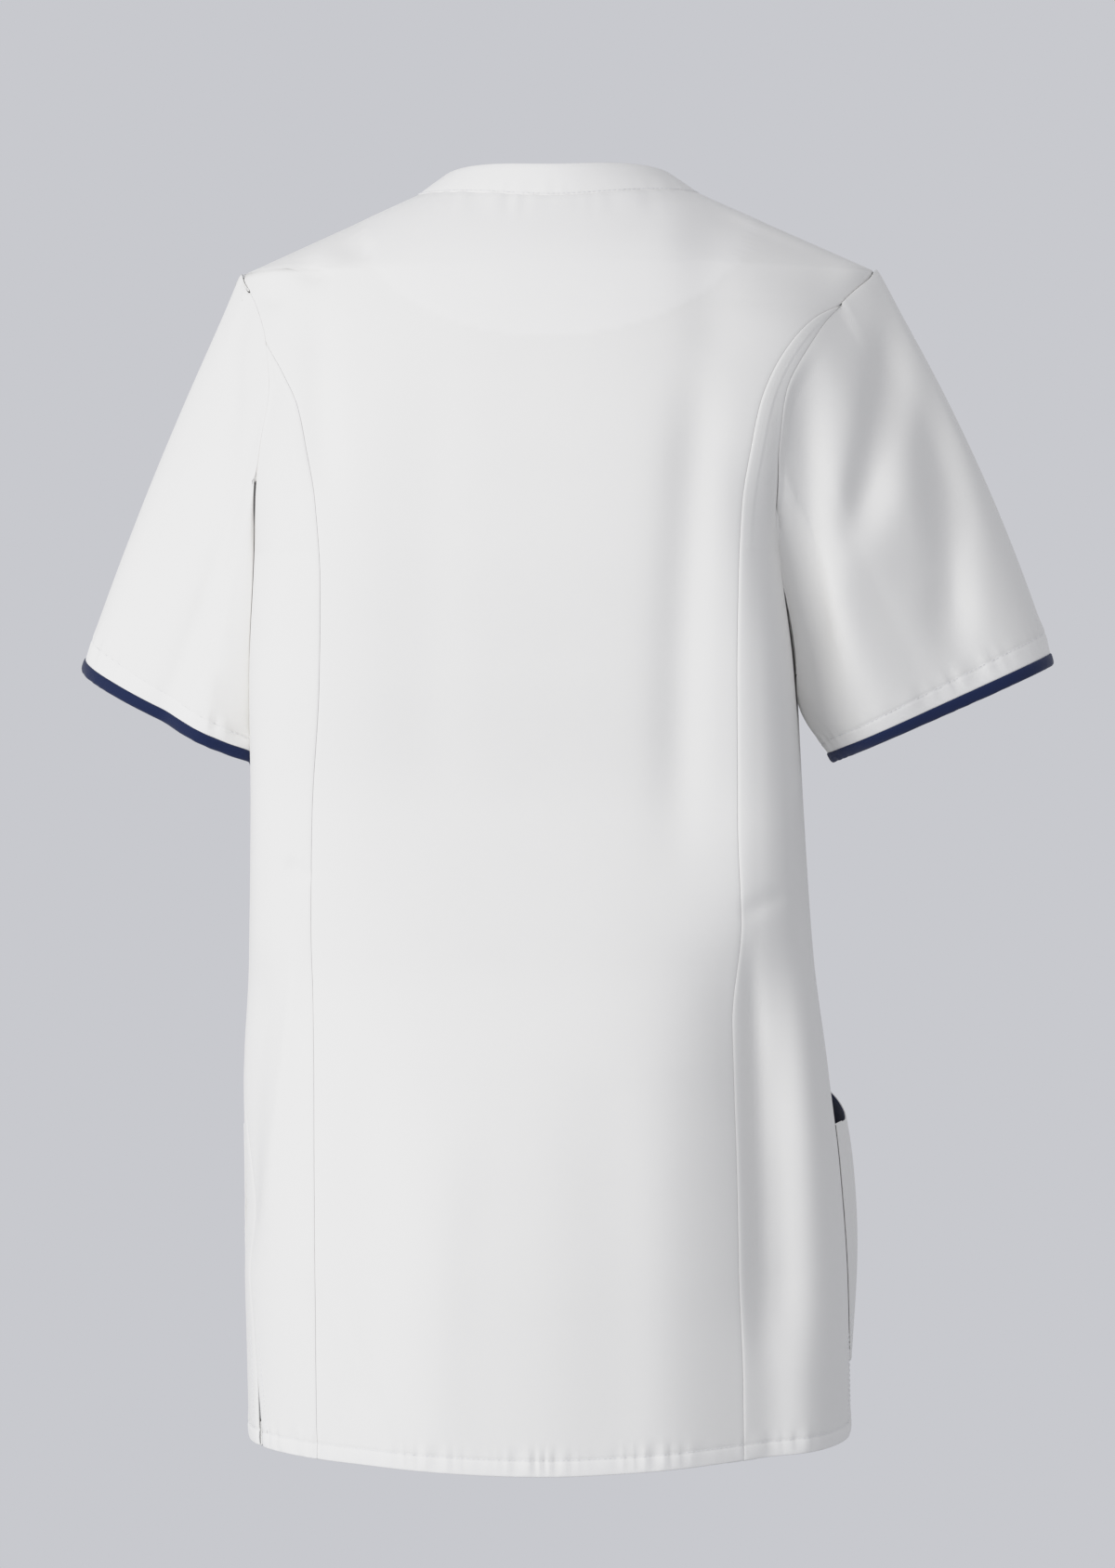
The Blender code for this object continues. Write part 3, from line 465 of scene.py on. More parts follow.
def twill_material(name, single, double, ribs, roughness, sheen):
    """Woven cloth: its colour in one layer and in two, the ribs per metre, how dull it is, its sheen."""
    material = bpy.data.materials.new(name)
    material.use_nodes = True
    tree = material.node_tree
    shader = tree.nodes["Principled BSDF"]
    place = tree.nodes.new("ShaderNodeUVMap")
    place.uv_map = "cloth"
    weave = tree.nodes.new("ShaderNodeGroup")
    weave.node_tree = TWILL
    weave.inputs["Ribs"].default_value = ribs
    tree.links.new(place.outputs["UV"], weave.inputs["UV"])
    layers = tree.nodes.new("ShaderNodeAttribute")
    layers.attribute_name = "layers"
    colour = tree.nodes.new("ShaderNodeMix")
    colour.data_type = "RGBA"
    colour.inputs["A"].default_value = (*single, 1.0)
    colour.inputs["B"].default_value = (*double, 1.0)
    tree.links.new(layers.outputs["Fac"], colour.inputs["Factor"])
    uneven = tree.nodes.new("ShaderNodeMix")
    uneven.data_type = "RGBA"
    uneven.blend_type = "MULTIPLY"
    uneven.inputs["Factor"].default_value = 1.0
    tone = tree.nodes.new("ShaderNodeMapRange")
    tone.inputs["To Min"].default_value = 0.985
    tone.inputs["To Max"].default_value = 1.0
    tree.links.new(weave.outputs["Slub"], tone.inputs["Value"])
    tree.links.new(colour.outputs["Result"], uneven.inputs["A"])
    tree.links.new(tone.outputs["Result"], uneven.inputs["B"])
    tree.links.new(uneven.outputs["Result"], shader.inputs["Base Color"])
    dull = tree.nodes.new("ShaderNodeMapRange")
    dull.inputs["To Min"].default_value = roughness - 0.05
    dull.inputs["To Max"].default_value = roughness + 0.05
    tree.links.new(weave.outputs["Slub"], dull.inputs["Value"])
    tree.links.new(dull.outputs["Result"], shader.inputs["Roughness"])
    bump = tree.nodes.new("ShaderNodeBump")
    bump.inputs["Strength"].default_value = 0.35
    bump.inputs["Distance"].default_value = 0.00005
    tree.links.new(weave.outputs["Height"], bump.inputs["Height"])
    tree.links.new(bump.outputs["Normal"], shader.inputs["Normal"])
    shader.inputs["Sheen Weight"].default_value = sheen
    shader.inputs["Sheen Roughness"].default_value = 0.5
    shader.inputs["Specular IOR Level"].default_value = 0.25
    return material


WHITE_TWILL = twill_material("white_cloth", (0.838, 0.829, 0.804), (0.866, 0.857, 0.834),
                             1700.0, 0.82, 0.10)


def add_object(name, data):
    """A new object in the scene, at the origin."""
    thing = bpy.data.objects.new(name, data)
    bpy.context.scene.collection.objects.link(thing)
    return thing


def make_mesh(name, grids, layers, material, closed=False):
    """A mesh through grids of points, whose rows run up and whose columns run with the turn.

    Its UV map measures metres of cloth: across it from its middle column, and up it. layers is 1
    where two layers of cloth lie together. closed joins the last column to the first.
    """
    points, quads, uvs, masks, start = [], [], [], [], 0
    for grid, mask in zip(grids, layers):
        rows, columns = grid.shape[:2]
        number = start + np.arange(rows * columns).reshape(rows, columns)
        if closed:
            number = np.concatenate([number, number[:, :1]], axis=1)
        wide = np.concatenate([grid, grid[:, :1]], axis=1) if closed else grid
        across = np.cumsum(np.linalg.norm(np.diff(wide, axis=1, prepend=wide[:, :1]), axis=-1), axis=1)
        across = across - across[:, across.shape[1] // 2][:, None]
        up = np.cumsum(np.linalg.norm(np.diff(wide, axis=0, prepend=wide[:1]), axis=-1), axis=0)
        corners = [(slice(None, -1), slice(None, -1)), (slice(1, None), slice(None, -1)),
                   (slice(1, None), slice(1, None)), (slice(None, -1), slice(1, None))]
        quads.append(np.stack([number[c] for c in corners], axis=-1).reshape(-1, 4))
        corner_uvs = [np.stack([across[c], up[c]], axis=-1) for c in corners]
        uvs.append(np.stack(corner_uvs, axis=-2).reshape(-1, 2))
        points.append(grid.reshape(-1, 3))
        masks.append(np.broadcast_to(mask, (rows, columns)).reshape(-1))
        start += rows * columns
    points, quads = np.concatenate(points), np.concatenate(quads)
    mesh = bpy.data.meshes.new(name)
    mesh.vertices.add(len(points))
    mesh.vertices.foreach_set("co", points.ravel())
    mesh.loops.add(quads.size)
    mesh.loops.foreach_set("vertex_index", quads.ravel().astype(np.int32))
    mesh.polygons.add(len(quads))
    mesh.polygons.foreach_set("loop_start", np.arange(0, quads.size, 4, dtype=np.int32))
    mesh.update(calc_edges=True)
    mesh.uv_layers.new(name="cloth").data.foreach_set("uv", np.concatenate(uvs).ravel())
    layer_mask = mesh.attributes.new("layers", "FLOAT", "POINT")
    layer_mask.data.foreach_set("value", np.concatenate(masks).astype(np.float32))
    if len(grids) > 1:
        joined = bmesh.new()
        joined.from_mesh(mesh)
        bmesh.ops.remove_doubles(joined, verts=joined.verts, dist=1e-5)
        joined.to_mesh(mesh)
        joined.free()
    mesh.shade_smooth()
    mesh.materials.append(material)
    return add_object(name, mesh)


def cloth_piece(node, grids, layers, material, closed=False):
    """A shell of cloth that stands for a node of the frame, thickened inward.

    Its normals are weighted by the areas of the faces, because thin faces lie where edges run level.
    """
    piece = make_mesh(node + "_cloth", grids, layers, material, closed)
    thicken = piece.modifiers.new("cloth", "SOLIDIFY")
    thicken.thickness = CLOTH
    thicken.offset = -1
    normals = piece.modifiers.new("normals", "WEIGHTED_NORMAL")
    normals.mode = "FACE_AREA"
    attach(piece, "root")
    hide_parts(node)
    return piece


def facing_share(x, drop):
    """1 where the half-moon facing lies under the back, 0 outside it, with a soft edge."""
    ellipse = np.sqrt(np.maximum(1 - (x / FACING_HALF_WIDTH) ** 2, 0))
    low = FACING_END_DROP + (FACING_DROP - FACING_END_DROP) * ellipse
    inside = np.where(np.abs(x) < FACING_HALF_WIDTH, low - drop, -0.01)
    return ease(0.5 + inside / 0.0016)


# Heights above the underarm of rows laid close together, where the armhole runs nearly level.
UNDERARM_ROWS = (0.0, 0.000001, 0.000005, 0.00002, 0.00007, 0.0002, 0.0005, 0.0010, 0.0017)


def back_rows():
    """Drops of the rows of the back, from the hem up to the neck, and how deep each lies."""
    up, depth = hem_rows(top=HEM_DROP - 0.0010)
    drop, depth = np.append(HEM_DROP - up, 0.0), np.append(depth, 0.0)
    place = int(np.argmax(drop < UNDERARM_DROP))
    close = UNDERARM_DROP - np.array(UNDERARM_ROWS)
    close = close[close > drop[place] + 0.0002]
    return np.insert(drop, place, close), np.insert(depth, place, 0 * close)


# How softly the paler tone of doubled cloth ends, how far the facing raises the back, and how the
# neckband's seam drags the cloth below it.
LAYER_EDGE = 0.0006
FACING_RAISE = 0.00025
NECK_DRAG = 0.00045
NECK_DRAG_PITCH = 0.014
NECK_DRAG_SEED = 3.0


def back_points(turn, drop, depth):
    """Points of a back panel, with its hem's topstitching and the soft ridge of the facing's edge.

    Returns them with a mask, which is 1 where the cloth is double.
    """
    drop = drop[:, None] + 0 * turn
    up = HEM_DROP - drop
    lowered = to_hem(drop, turn)
    near_neck = ease(1 - drop / SHOULDER_DROP)
    lowered = lowered + BACK_NECK_DROP * np.cos(turn) ** 2 * near_neck
    depth = depth + hem_sewing(up, turn)
    x = body(turn, lowered)[..., 0]
    over_facing = facing_share(x, drop)
    drag = NECK_DRAG * ripple(x, NECK_DRAG_PITCH, NECK_DRAG_SEED)
    drag = drag * bell((drop - 0.004) / 0.009) * ease((0.10 - np.abs(x)) / 0.02)
    depth = depth - FACING_RAISE * over_facing + drag
    double = np.maximum(over_facing, ease((HEM_DEPTH - up) / LAYER_EDGE))
    return skin(turn, lowered, depth), double


# How deep a pressed seam lies, as a share of a full one. The princess seams' allowances are pressed
# toward the side panels, and raise them a little.
ARMHOLE_PRESS = 0.35
PRINCESS_PRESS = 0.25
ALLOWANCE_WIDTH = 0.0095
ALLOWANCE_LIFT = 0.0003


def make_back_centre():
    """The centre back panel: neckline, shoulders, upper armholes, princess seams and hem."""
    drop, row_depth = back_rows()
    edges, press = [], []
    for side in (-1, 1):
        on_princess = np.abs(princess_turn(drop, side)) < np.abs(armhole_edge(drop, side))
        edges.append(np.where(on_princess, princess_turn(drop, side), armhole_edge(drop, side)))
        press.append(np.where(on_princess, PRINCESS_PRESS, ARMHOLE_PRESS))
    turn, depth = across_panel(edges[0], edges[1], drop, 116, press[0], press[1])
    depth = depth + row_depth[:, None]
    points, double = back_points(turn, drop, depth)
    piece = cloth_piece("back_centre", [points], [double], WHITE_TWILL)


make_back_centre()


# The side panels of the back
# Two narrow panels of the same twill, from each armhole to the hem between a princess seam and a side
# seam. The side seams end above the hem in short vents.

VENT_HEIGHT = 0.0620
VENT_SPREAD = 0.0040

# The side seams: their turn from the centre back, each side, in degrees.
SideSeam = namedtuple("SideSeam", "drop left right")
SIDE_SEAM = (
    SideSeam(0.200, 90, 90),
    SideSeam(0.450, 88, 90),
    SideSeam(0.600, 79, 89),
    SideSeam(0.700, 73, 88),
    SideSeam(0.780, 71, 87),
)


def side_turn(drop, side):
    """Turn of a side seam at this drop."""
    return side * np.radians(column(SIDE_SEAM, "left" if side > 0 else "right", drop))


def vent_gap(drop):
    """How far each edge stands off the side seam's line, as a turn: only down the vent."""
    down_vent = np.clip((drop - (HEM_DROP - VENT_HEIGHT)) / VENT_HEIGHT, 0, 1)
    return VENT_SPREAD * down_vent / half_width(drop)


def make_back_side(side, name):
    """A side panel of the back, which narrows to a point where the princess seam meets the armhole."""
    drop, row_depth = back_rows()
    keep = drop > princess_top(side)
    drop, row_depth = drop[keep], row_depth[keep]
    inner = princess_turn(drop, side)
    outer = np.where(drop >= UNDERARM_DROP, side_turn(drop, side) - side * vent_gap(drop),
                     armhole_edge(drop, side))
    inner_press = PRINCESS_PRESS + 0 * drop
    outer_press = np.where(drop >= UNDERARM_DROP, PRINCESS_PRESS, ARMHOLE_PRESS)
    left, right = (inner, outer) if side > 0 else (outer, inner)
    left_press, right_press = (inner_press, outer_press) if side > 0 else (outer_press, inner_press)
    turn, depth = across_panel(left, right, drop, 30, left_press, right_press)
    from_seam = np.abs(turn - inner[:, None]) * half_width(drop)[:, None]
    depth = depth + row_depth[:, None] - (
        ALLOWANCE_LIFT * ease(from_seam / 0.0014) * ease((ALLOWANCE_WIDTH - from_seam) / 0.0025))
    points, double = back_points(turn, drop, depth)
    piece = cloth_piece(name, [points], [double], WHITE_TWILL)


for side, name in ((1, "back_side_left"), (-1, "back_side_right")):
    make_back_side(side, name)


# The front
# One panel of the same twill with a V neck, sewn to the back at the shoulders and the sides. The
# photograph doesn't show it, so it is plain, with folds like those of the back.

FRONT_NECK_DROP = 0.2350


def v_line(share_up, side):
    """Turn and drop on one side of the V neck, from its point at 0 to the shoulder at 1."""
    drop = FRONT_NECK_DROP * (1 - share_up) ** 2
    top = SECTIONS[0].sway + side * NECK_HALF_WIDTH
    point = column(SECTIONS, "sway", FRONT_NECK_DROP)
    x = top + (point - top) * drop / FRONT_NECK_DROP
    share = np.clip(side * (x - column(SECTIONS, "sway", drop)) / half_width(drop), 0, 1)
    return side * turn_at(share, drop, front=True) % (2 * math.pi), drop


def shares_from_edge(edge, middle, count):
    """Shares of the way across, row by row, from a turned-in edge to a plain one, and the depths."""
    width = np.linalg.norm(middle - edge, axis=-1)[:, None]
    off = np.array([row.off for row in SEAM_EDGE]) / width
    inner = off[:, -1:] + (1 - off[:, -1:]) * np.linspace(0, 1, count + 1)[1:]
    depth = np.array([row.depth for row in SEAM_EDGE] + [0.0] * count) + 0 * width
    return np.concatenate([off, inner], axis=1), depth


def mirrored(turn, side):
    """A turn of the wearer's left side, or its mirror image on the right."""
    return turn if side > 0 else 2 * math.pi - turn


def front_points(side, edge_turn, edge_drop, middle_turn, middle_drop, row_depth, up):
    """Points of one stretch of the front, on lines from its outer edge to its middle or neck edge."""
    share, depth = shares_from_edge(body(edge_turn, edge_drop), body(middle_turn, middle_drop), 76)
    turn = edge_turn[:, None] + (middle_turn - edge_turn)[:, None] * share
    drop = edge_drop[:, None] + (middle_drop - edge_drop)[:, None] * share
    signed = mirrored(turn, side)
    depth = depth + row_depth[:, None] + hem_sewing(up[:, None] + 0 * turn, signed)
    points = skin(signed, to_hem(drop, signed), depth)
    double = ease((HEM_DEPTH - up[:, None]) / LAYER_EDGE) + 0 * turn
    return (points, double) if side > 0 else (points[:, ::-1], double)


# Shares of the way up the armhole of its lowest rows, close together where it runs nearly level.
UNDERARM_SHARES = (0.0, 0.000002, 0.00002, 0.0001, 0.0004, 0.0010, 0.0022, 0.0040, 0.0065, 0.0095)


def make_front():
    """The front: two halves that meet down the middle below the V, and part above its point."""
    up, row_depth = hem_rows(top=HEM_DROP - UNDERARM_DROP)
    up, row_depth = np.append(up, HEM_DROP - UNDERARM_DROP), np.append(row_depth, 0.0)
    side_drop = HEM_DROP - up
    middle_drop = HEM_DROP - up / up[-1] * (HEM_DROP - FRONT_NECK_DROP)
    above = np.concatenate([UNDERARM_SHARES, np.linspace(UNDERARM_SHARES[-1], 1, 78)[1:]])
    grids, layers = [], []
    for side in (1, -1):
        outer = np.abs(side_turn(side_drop, side)) + vent_gap(side_drop)
        edge_turn, edge_drop = armhole(180 * (1 - above), side, front=True)
        neck_turn, neck_drop = v_line(above, side)
        edge_turn = np.maximum(mirrored(edge_turn, side), math.pi / 2)
        neck_turn = np.maximum(mirrored(neck_turn, side), math.pi / 2)
        neck_turn = np.where(above > 0, neck_turn, math.pi)
        edge_turn[0], edge_drop[0] = outer[-1], side_drop[-1]
        low = front_points(side, outer, side_drop, np.full_like(outer, math.pi), middle_drop, row_depth, up)
        high = front_points(side, edge_turn, edge_drop, neck_turn, neck_drop, 0 * above, up[-1] + 0 * above)
        grids += [low[0], high[0]]
        layers += [low[1], high[1]]
    piece = cloth_piece("front", grids, layers, WHITE_TWILL)


make_front()


# The neckband
# A stand band of doubled white twill round the neck, about 21 mm high, topstitched to the neckline.
# It leans out behind, lies flat beside the V, and is mitred at its point.

BAND_HEIGHT = 0.0215
BAND_LEAN_BACK = math.radians(20)
BAND_LEAN_SHOULDER = math.radians(9)
BAND_LEAN_FRONT = math.radians(4)
BAND_PUCKER = 0.00022
BAND_PUCKER_PITCH = 0.013
BAND_PUCKER_SEED = 4.0

# The band's section, up its outside, over its folded edge and down its inside: the share of its
# height, and how far inward.
Rim = namedtuple("Rim", "height inward")
BAND_SECTION = (
    Rim(-0.090, 0.0011), Rim(-0.020, 0.0008), Rim(0.004, 0.0001), Rim(0.020, -0.0002), Rim(0.055, -0.0003),
    Rim(0.085, -0.0001), Rim(0.120, -0.0003), Rim(0.300, -0.0006), Rim(0.550, -0.0008), Rim(0.800, -0.0007),
    Rim(0.940, -0.0005), Rim(0.985, -0.0001),
    Rim(1.000, 0.0005), Rim(0.985, 0.0011), Rim(0.940, 0.0014), Rim(0.600, 0.0016), Rim(0.250, 0.0017),
    Rim(0.060, 0.0016), Rim(0.000, 0.0013),
)


def lift_from(turn, drop, along, lean):
    """Directions off the neckline: in the cloth's plane, square to the seam, then leaned outward."""
    normal = body_normal(turn, drop)
    in_plane = unit(np.cross(unit(along), normal))
    return in_plane * np.cos(lean)[:, None] + normal * np.sin(lean)[:, None]


def distances_along(points):
    """How far along a line of points each one lies."""
    return np.concatenate([[0], np.cumsum(np.linalg.norm(np.diff(points, axis=0), axis=1))])


def shares_along(points):
    """How far along a line of points each one lies, as a share of the line's length."""
    distance = distances_along(points)
    return distance / distance[-1]


def at_shares(points, shares):
    """The points that lie at these shares of the length of a line of points."""
    own = shares_along(points)
    return np.stack([np.interp(shares, own, points[:, i]) for i in range(3)], axis=1)


def band_edges(turn, drop, seam, along):
    """The two edges of the band beside a stretch of the neckline: at the seam, and free."""
    behind = np.maximum(np.cos(turn), 0) ** 2
    lean = BAND_LEAN_FRONT + (BAND_LEAN_SHOULDER - BAND_LEAN_FRONT) * ease((0.10 - drop) / 0.09)
    lean = lean + (BAND_LEAN_BACK - BAND_LEAN_SHOULDER) * behind
    return seam, seam + lift_from(turn, drop, along, lean) * BAND_HEIGHT


def band_lines():
    """The band's seam line and free edge, once round the neck."""
    turn = np.linspace(-math.pi / 2, math.pi / 2, 120)
    drop = BACK_NECK_DROP * np.cos(turn) ** 2
    seam = body(turn, drop)
    back_low, back_high = band_edges(turn, drop, seam, np.gradient(seam, axis=0))
    sides = {}
    for side in (1, -1):
        turn, drop = v_line(np.linspace(0, 1, 90), side)
        turn[0] = math.pi
        seam = skin(turn, drop, 0 * turn)
        low, high = band_edges(turn, drop, seam, side * np.gradient(seam[::-1], axis=0)[::-1])
        clear = side * (high[:, 0] - seam[0, 0]) > 0.002
        sides[side] = low, high[clear]
    mitre = (sides[1][1][0] + sides[-1][1][0]) / 2
    lows, highs = [back_low], [back_high]
    for side in (1, -1):
        low = sides[side][0]
        high = at_shares(np.vstack([mitre, sides[side][1]]), shares_along(low))
        low, high = low[:-1], high[:-1]
        lows.append(low[::-1] if side > 0 else low[1:])
        highs.append(high[::-1] if side > 0 else high[1:])
    return np.vstack(lows), np.vstack(highs)


def band_outward(low, high):
    """Directions out of the band's face: the cross product of its rise and its run round the neck."""
    along = np.roll(low, -1, axis=0) - np.roll(low, 1, axis=0)
    return unit(np.cross(high - low, along))


def make_neckband():
    """The band's wall: its section carried once round the neck, with faint puckers above its seam."""
    low, high = band_lines()
    rise = high - low
    outward = band_outward(low, high)
    puckers = BAND_PUCKER * ripple(distances_along(low), BAND_PUCKER_PITCH, BAND_PUCKER_SEED)
    rows = []
    for rim in BAND_SECTION:
        inward = rim.inward + puckers * bell((rim.height - 0.1) / 0.25)
        rows.append(low + rise * rim.height - outward * inward[:, None])
    piece = make_mesh("neckband_cloth", [np.stack(rows)], [np.ones(1)], WHITE_TWILL, closed=True)
    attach(piece, "root")
    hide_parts("neckband")


make_neckband()


# The half-moon facing
# A half moon of the same twill inside the back neck, where it shows from the front through the V. It
# is caught in the neckband's seam, and its curved lower edge hangs free.

FACING_SPAN = 0.985
FACING_GAP = 0.0012


def make_facing():
    """The facing, laid under the back panel. Its free edge is half an ellipse."""
    across = np.linspace(-1, 1, 81) * FACING_SPAN
    top_turn = across * math.pi / 2
    top_drop = 0.001 + BACK_NECK_DROP * np.cos(top_turn) ** 2
    low_drop = FACING_END_DROP + (FACING_DROP - FACING_END_DROP) * np.sqrt(1 - across ** 2)
    share = np.abs(across) * FACING_HALF_WIDTH / half_width(low_drop)
    low_turn = np.sign(across) * turn_at(share, low_drop)
    up = np.linspace(0, 1, 32)[:, None]
    turn = low_turn + (top_turn - low_turn) * up
    drop = low_drop + (top_drop - low_drop) * up
    points = skin(turn, drop, CLOTH + FACING_GAP + 0 * turn)
    piece = cloth_piece("back_neck_facing", [points], [np.zeros(1)], WHITE_TWILL)


make_facing()


# The sleeves
# Short set-in sleeves of the same twill. Each is cut in one piece, sewn up under the arm and set into
# its armhole, and its edge is bound.

SLEEVE_HEAD_ROUND = 0.030
SLEEVE_CLEARANCE = 0.00015
CLING_REACH = 0.014

# The power to which a cuff's cosine and sine are raised. Below 1, its ellipse is a little squarer.
CUFF_FULLNESS = 0.90

# The cuffs: the middle, the half width and half depth of the opening, how far its line falls toward
# the body, how far it tips to the front, how far the sleeve swells between armhole and cuff, the share
# of the way to the cuff at which its inner back stops clinging to the body, and how far the inner back
# corner is filled out.
Cuff = namedtuple("Cuff", "side middle half_width half_depth slope tip swell cling_to corner")
CUFFS = {
    "left": Cuff(1, (0.2400, -0.0310, -0.3085), 0.0635, 0.0560, 25.7, 6.5, 0.004, 1.50, 0.34),
    "right": Cuff(-1, (0.2312, -0.0130, -0.3103), 0.0732, 0.0480, 24.1, 2.5, 0.008, 1.04, 0.06),
}

# The folds of the sleeves: a run along the sleeve at one turn round it, in degrees from its top.
SleeveFold = namedtuple("SleeveFold", "side degrees start end half_width depth")
SLEEVE_FOLDS = (
    SleeveFold("right", 116, 0.18, 1.10, 22, -0.0090),
    SleeveFold("right", 70, 0.45, 1.00, 18, 0.0040),
    SleeveFold("left", 110, 0.15, 0.90, 18, 0.0050),
    SleeveFold("left", 60, 0.40, 1.00, 18, 0.0030),
    SleeveFold("left", 240, 0.15, 0.90, 18, 0.0050),
    SleeveFold("right", 240, 0.15, 0.90, 18, 0.0050),
)

# Creases seen on the backs of the sleeves, given as those of the back are.
SLEEVE_CREASES = {
    "left": (
        Crease(0.2000, 0.085, 0.2140, 0.300, -0.0040, 0.0120, 0.0160, 0.0034),
        Crease(0.2120, 0.240, 0.2060, 0.300, 0.0000, 0.0050, 0.0060, 0.0016),
        Crease(0.1930, 0.070, 0.1960, 0.150, 0.0020, 0.0070, 0.0080, 0.0020),
    ),
    "right": (
        Crease(-0.2060, 0.060, -0.1760, 0.230, -0.0050, 0.0130, 0.0120, 0.0085),
        Crease(-0.2270, 0.100, -0.2400, 0.300, -0.0050, 0.0120, 0.0160, 0.0080),
        Crease(-0.1500, 0.090, -0.1600, 0.330, 0.0010, 0.0130, 0.0160, 0.0080),
        Crease(-0.2080, 0.062, -0.2160, 0.090, 0.0000, 0.0050, 0.0050, 0.0016),
    ),
}


def cuff_frame(cuff):
    """Unit vectors in the plane of a cuff: out from the body, and back."""
    slope, tip = math.radians(cuff.slope), math.radians(cuff.tip)
    out = np.array([cuff.side * math.cos(slope), 0.0, math.sin(slope)])
    down = np.array([cuff.side * math.sin(slope) * math.cos(tip), -math.sin(tip),
                     -math.cos(slope) * math.cos(tip)])
    back = np.cross(out, down) * cuff.side
    return out, back


def keep_clear(points, clearance, cling, blend=0.003):
    """Move points out from the body's middle where they are nearer to the body than the clearance.

    Where the cloth clings, from 0 to 1, points that are further off move in, by up to a reach.
    """
    drop = -points[..., 2]
    x = points[..., 0] - column(SECTIONS, "sway", drop)
    y = points[..., 1]
    radius = np.hypot(x, y)
    surface = body(np.arctan2(x, y), drop)
    surface_radius = np.hypot(surface[..., 0] - column(SECTIONS, "sway", drop), surface[..., 1])
    lack = surface_radius + clearance - radius
    push = np.where(lack > blend, lack, np.maximum(lack + blend, 0) ** 2 / (4 * blend))
    push = push + cling * (np.maximum(lack, -CLING_REACH) - push)
    outward = np.stack([x / radius, y / radius, 0 * x], axis=-1)
    return points + outward * push[..., None]


def sleeve_points(name, degrees, along):
    """Points of a sleeve, from the armhole seam at 0 to the edge of the cuff at 1.

    Straight lines join each point of the armhole to its point on the cuff, a squared ellipse that is
    filled out at its inner back corner, where the cloth goes on behind the body. Near the seam the
    cloth first goes on in the panel's direction, over a short rounding of the sleeve head. Between the
    two it swells by a power of a sine and has its folds, and its inner side keeps off the body and
    clings to it behind.
    """
    cuff = CUFFS[name]
    out, back = cuff_frame(cuff)
    angle = np.radians(degrees)
    behind = degrees <= 180
    back_turn, back_drop = armhole(np.where(behind, degrees, 0), cuff.side)
    front_turn, front_drop = armhole(np.where(behind, 180, 360 - degrees), cuff.side, front=True)
    turn = np.where(behind, back_turn, front_turn)
    drop = np.where(behind, back_drop, front_drop)
    start = skin(turn, drop, 0 * turn)
    normal = body_normal(turn, drop)
    middle = np.array(cuff.middle) * (cuff.side, 1, 1)
    across = np.sign(np.cos(angle)) * np.abs(np.cos(angle)) ** CUFF_FULLNESS
    deep = np.sign(np.sin(angle)) * np.abs(np.sin(angle)) ** CUFF_FULLNESS
    inner_back = 1 + cuff.corner * ease(-across / 0.4) * ease(deep / 0.4)
    end = middle + inner_back[:, None] * (cuff.half_width * across[:, None] * out
                                          + cuff.half_depth * deep[:, None] * back)
    run = end - start
    along_seam = np.roll(start, -1, axis=0) - np.roll(start, 1, axis=0)
    onward = unit(np.cross(normal, along_seam))
    onward *= np.sign(np.sum(onward * out, axis=-1, keepdims=True))
    length = np.linalg.norm(run, axis=-1, keepdims=True)
    fair = np.clip(np.cos(angle) + 0.55, 0, 1)[:, None]
    radial = np.cos(angle)[:, None] * out + np.sin(angle)[:, None] * back

    w = np.asarray(along)[:, None, None]
    points = start + run * w
    points = points + (onward - run / length) * fair * length * w * np.exp(-w / SLEEVE_HEAD_ROUND)
    swell = cuff.swell * (0.4 + 0.6 * np.maximum(0, np.cos(angle)))[:, None]
    points = points + radial * swell * np.sin(math.pi * np.clip(w, 0, 1)) ** 0.8
    for fold in SLEEVE_FOLDS:
        if fold.side == name:
            off = (degrees - fold.degrees + 180) % 360 - 180
            across = bell(off / fold.half_width)[:, None]
            length_share = (w - fold.start) / (fold.end - fold.start)
            fade = ease(length_share / 0.4) * ease((1.2 - length_share) / 0.4)
            points = points - radial * fold.depth * across * fade
    inner = ease((-np.cos(angle) - 0.1) / 0.4)[:, None]
    clearance = SLEEVE_CLEARANCE * ease(w / 0.08)[..., 0]
    cling = ease((degrees - 122) / 22) * ease((215 - degrees) / 22) * ease(w / 0.06)[..., 0]
    cling = cling * ease((cuff.cling_to - w) / 0.35)[..., 0]
    cleared = keep_clear(points, clearance, cling)
    return points + (cleared - points) * inner


def sleeve_normal(name, degrees, along, step=0.004):
    """Outward normals of a sleeve, from the cross product of a step along it and a step round it."""
    along_it = sleeve_points(name, degrees, along + step) - sleeve_points(name, degrees, along)
    points = sleeve_points(name, degrees, along)
    round_it = np.roll(points, -1, axis=1) - np.roll(points, 1, axis=1)
    normal = unit(np.cross(along_it, round_it))
    outward = np.sum(normal * (points - points.mean(axis=1, keepdims=True)), axis=-1).mean()
    return normal * np.sign(outward)


CUFF_STITCH = 0.012
SLEEVE_LENGTH = 0.24

# The columns of a sleeve, in degrees round it from its top, behind and under to its front.
SLEEVE_DEGREES = np.linspace(0, 360, 168, endpoint=False)

# The share of the way down a sleeve from which its rows lie closer, and the sewing round its cuff: the
# radius by which an angle becomes a distance, the groove and the puckers.
CLOSE_ROWS_FROM = 0.90
CUFF_RADIUS = 0.06
CUFF_GROOVE = 0.0004
CUFF_PUCKER = 0.0009
CUFF_PUCKER_PITCH = 0.010
CUFF_PUCKER_SPREAD = 0.008

# The sleeve's own allowance runs on flat under the panels.
SLEEVE_EDGE = (Edge(-0.0032, 0.0015), Edge(-0.0014, 0.0013), Edge(0.0, 0.0009)) + SEAM_EDGE[HIDDEN_ROWS:]


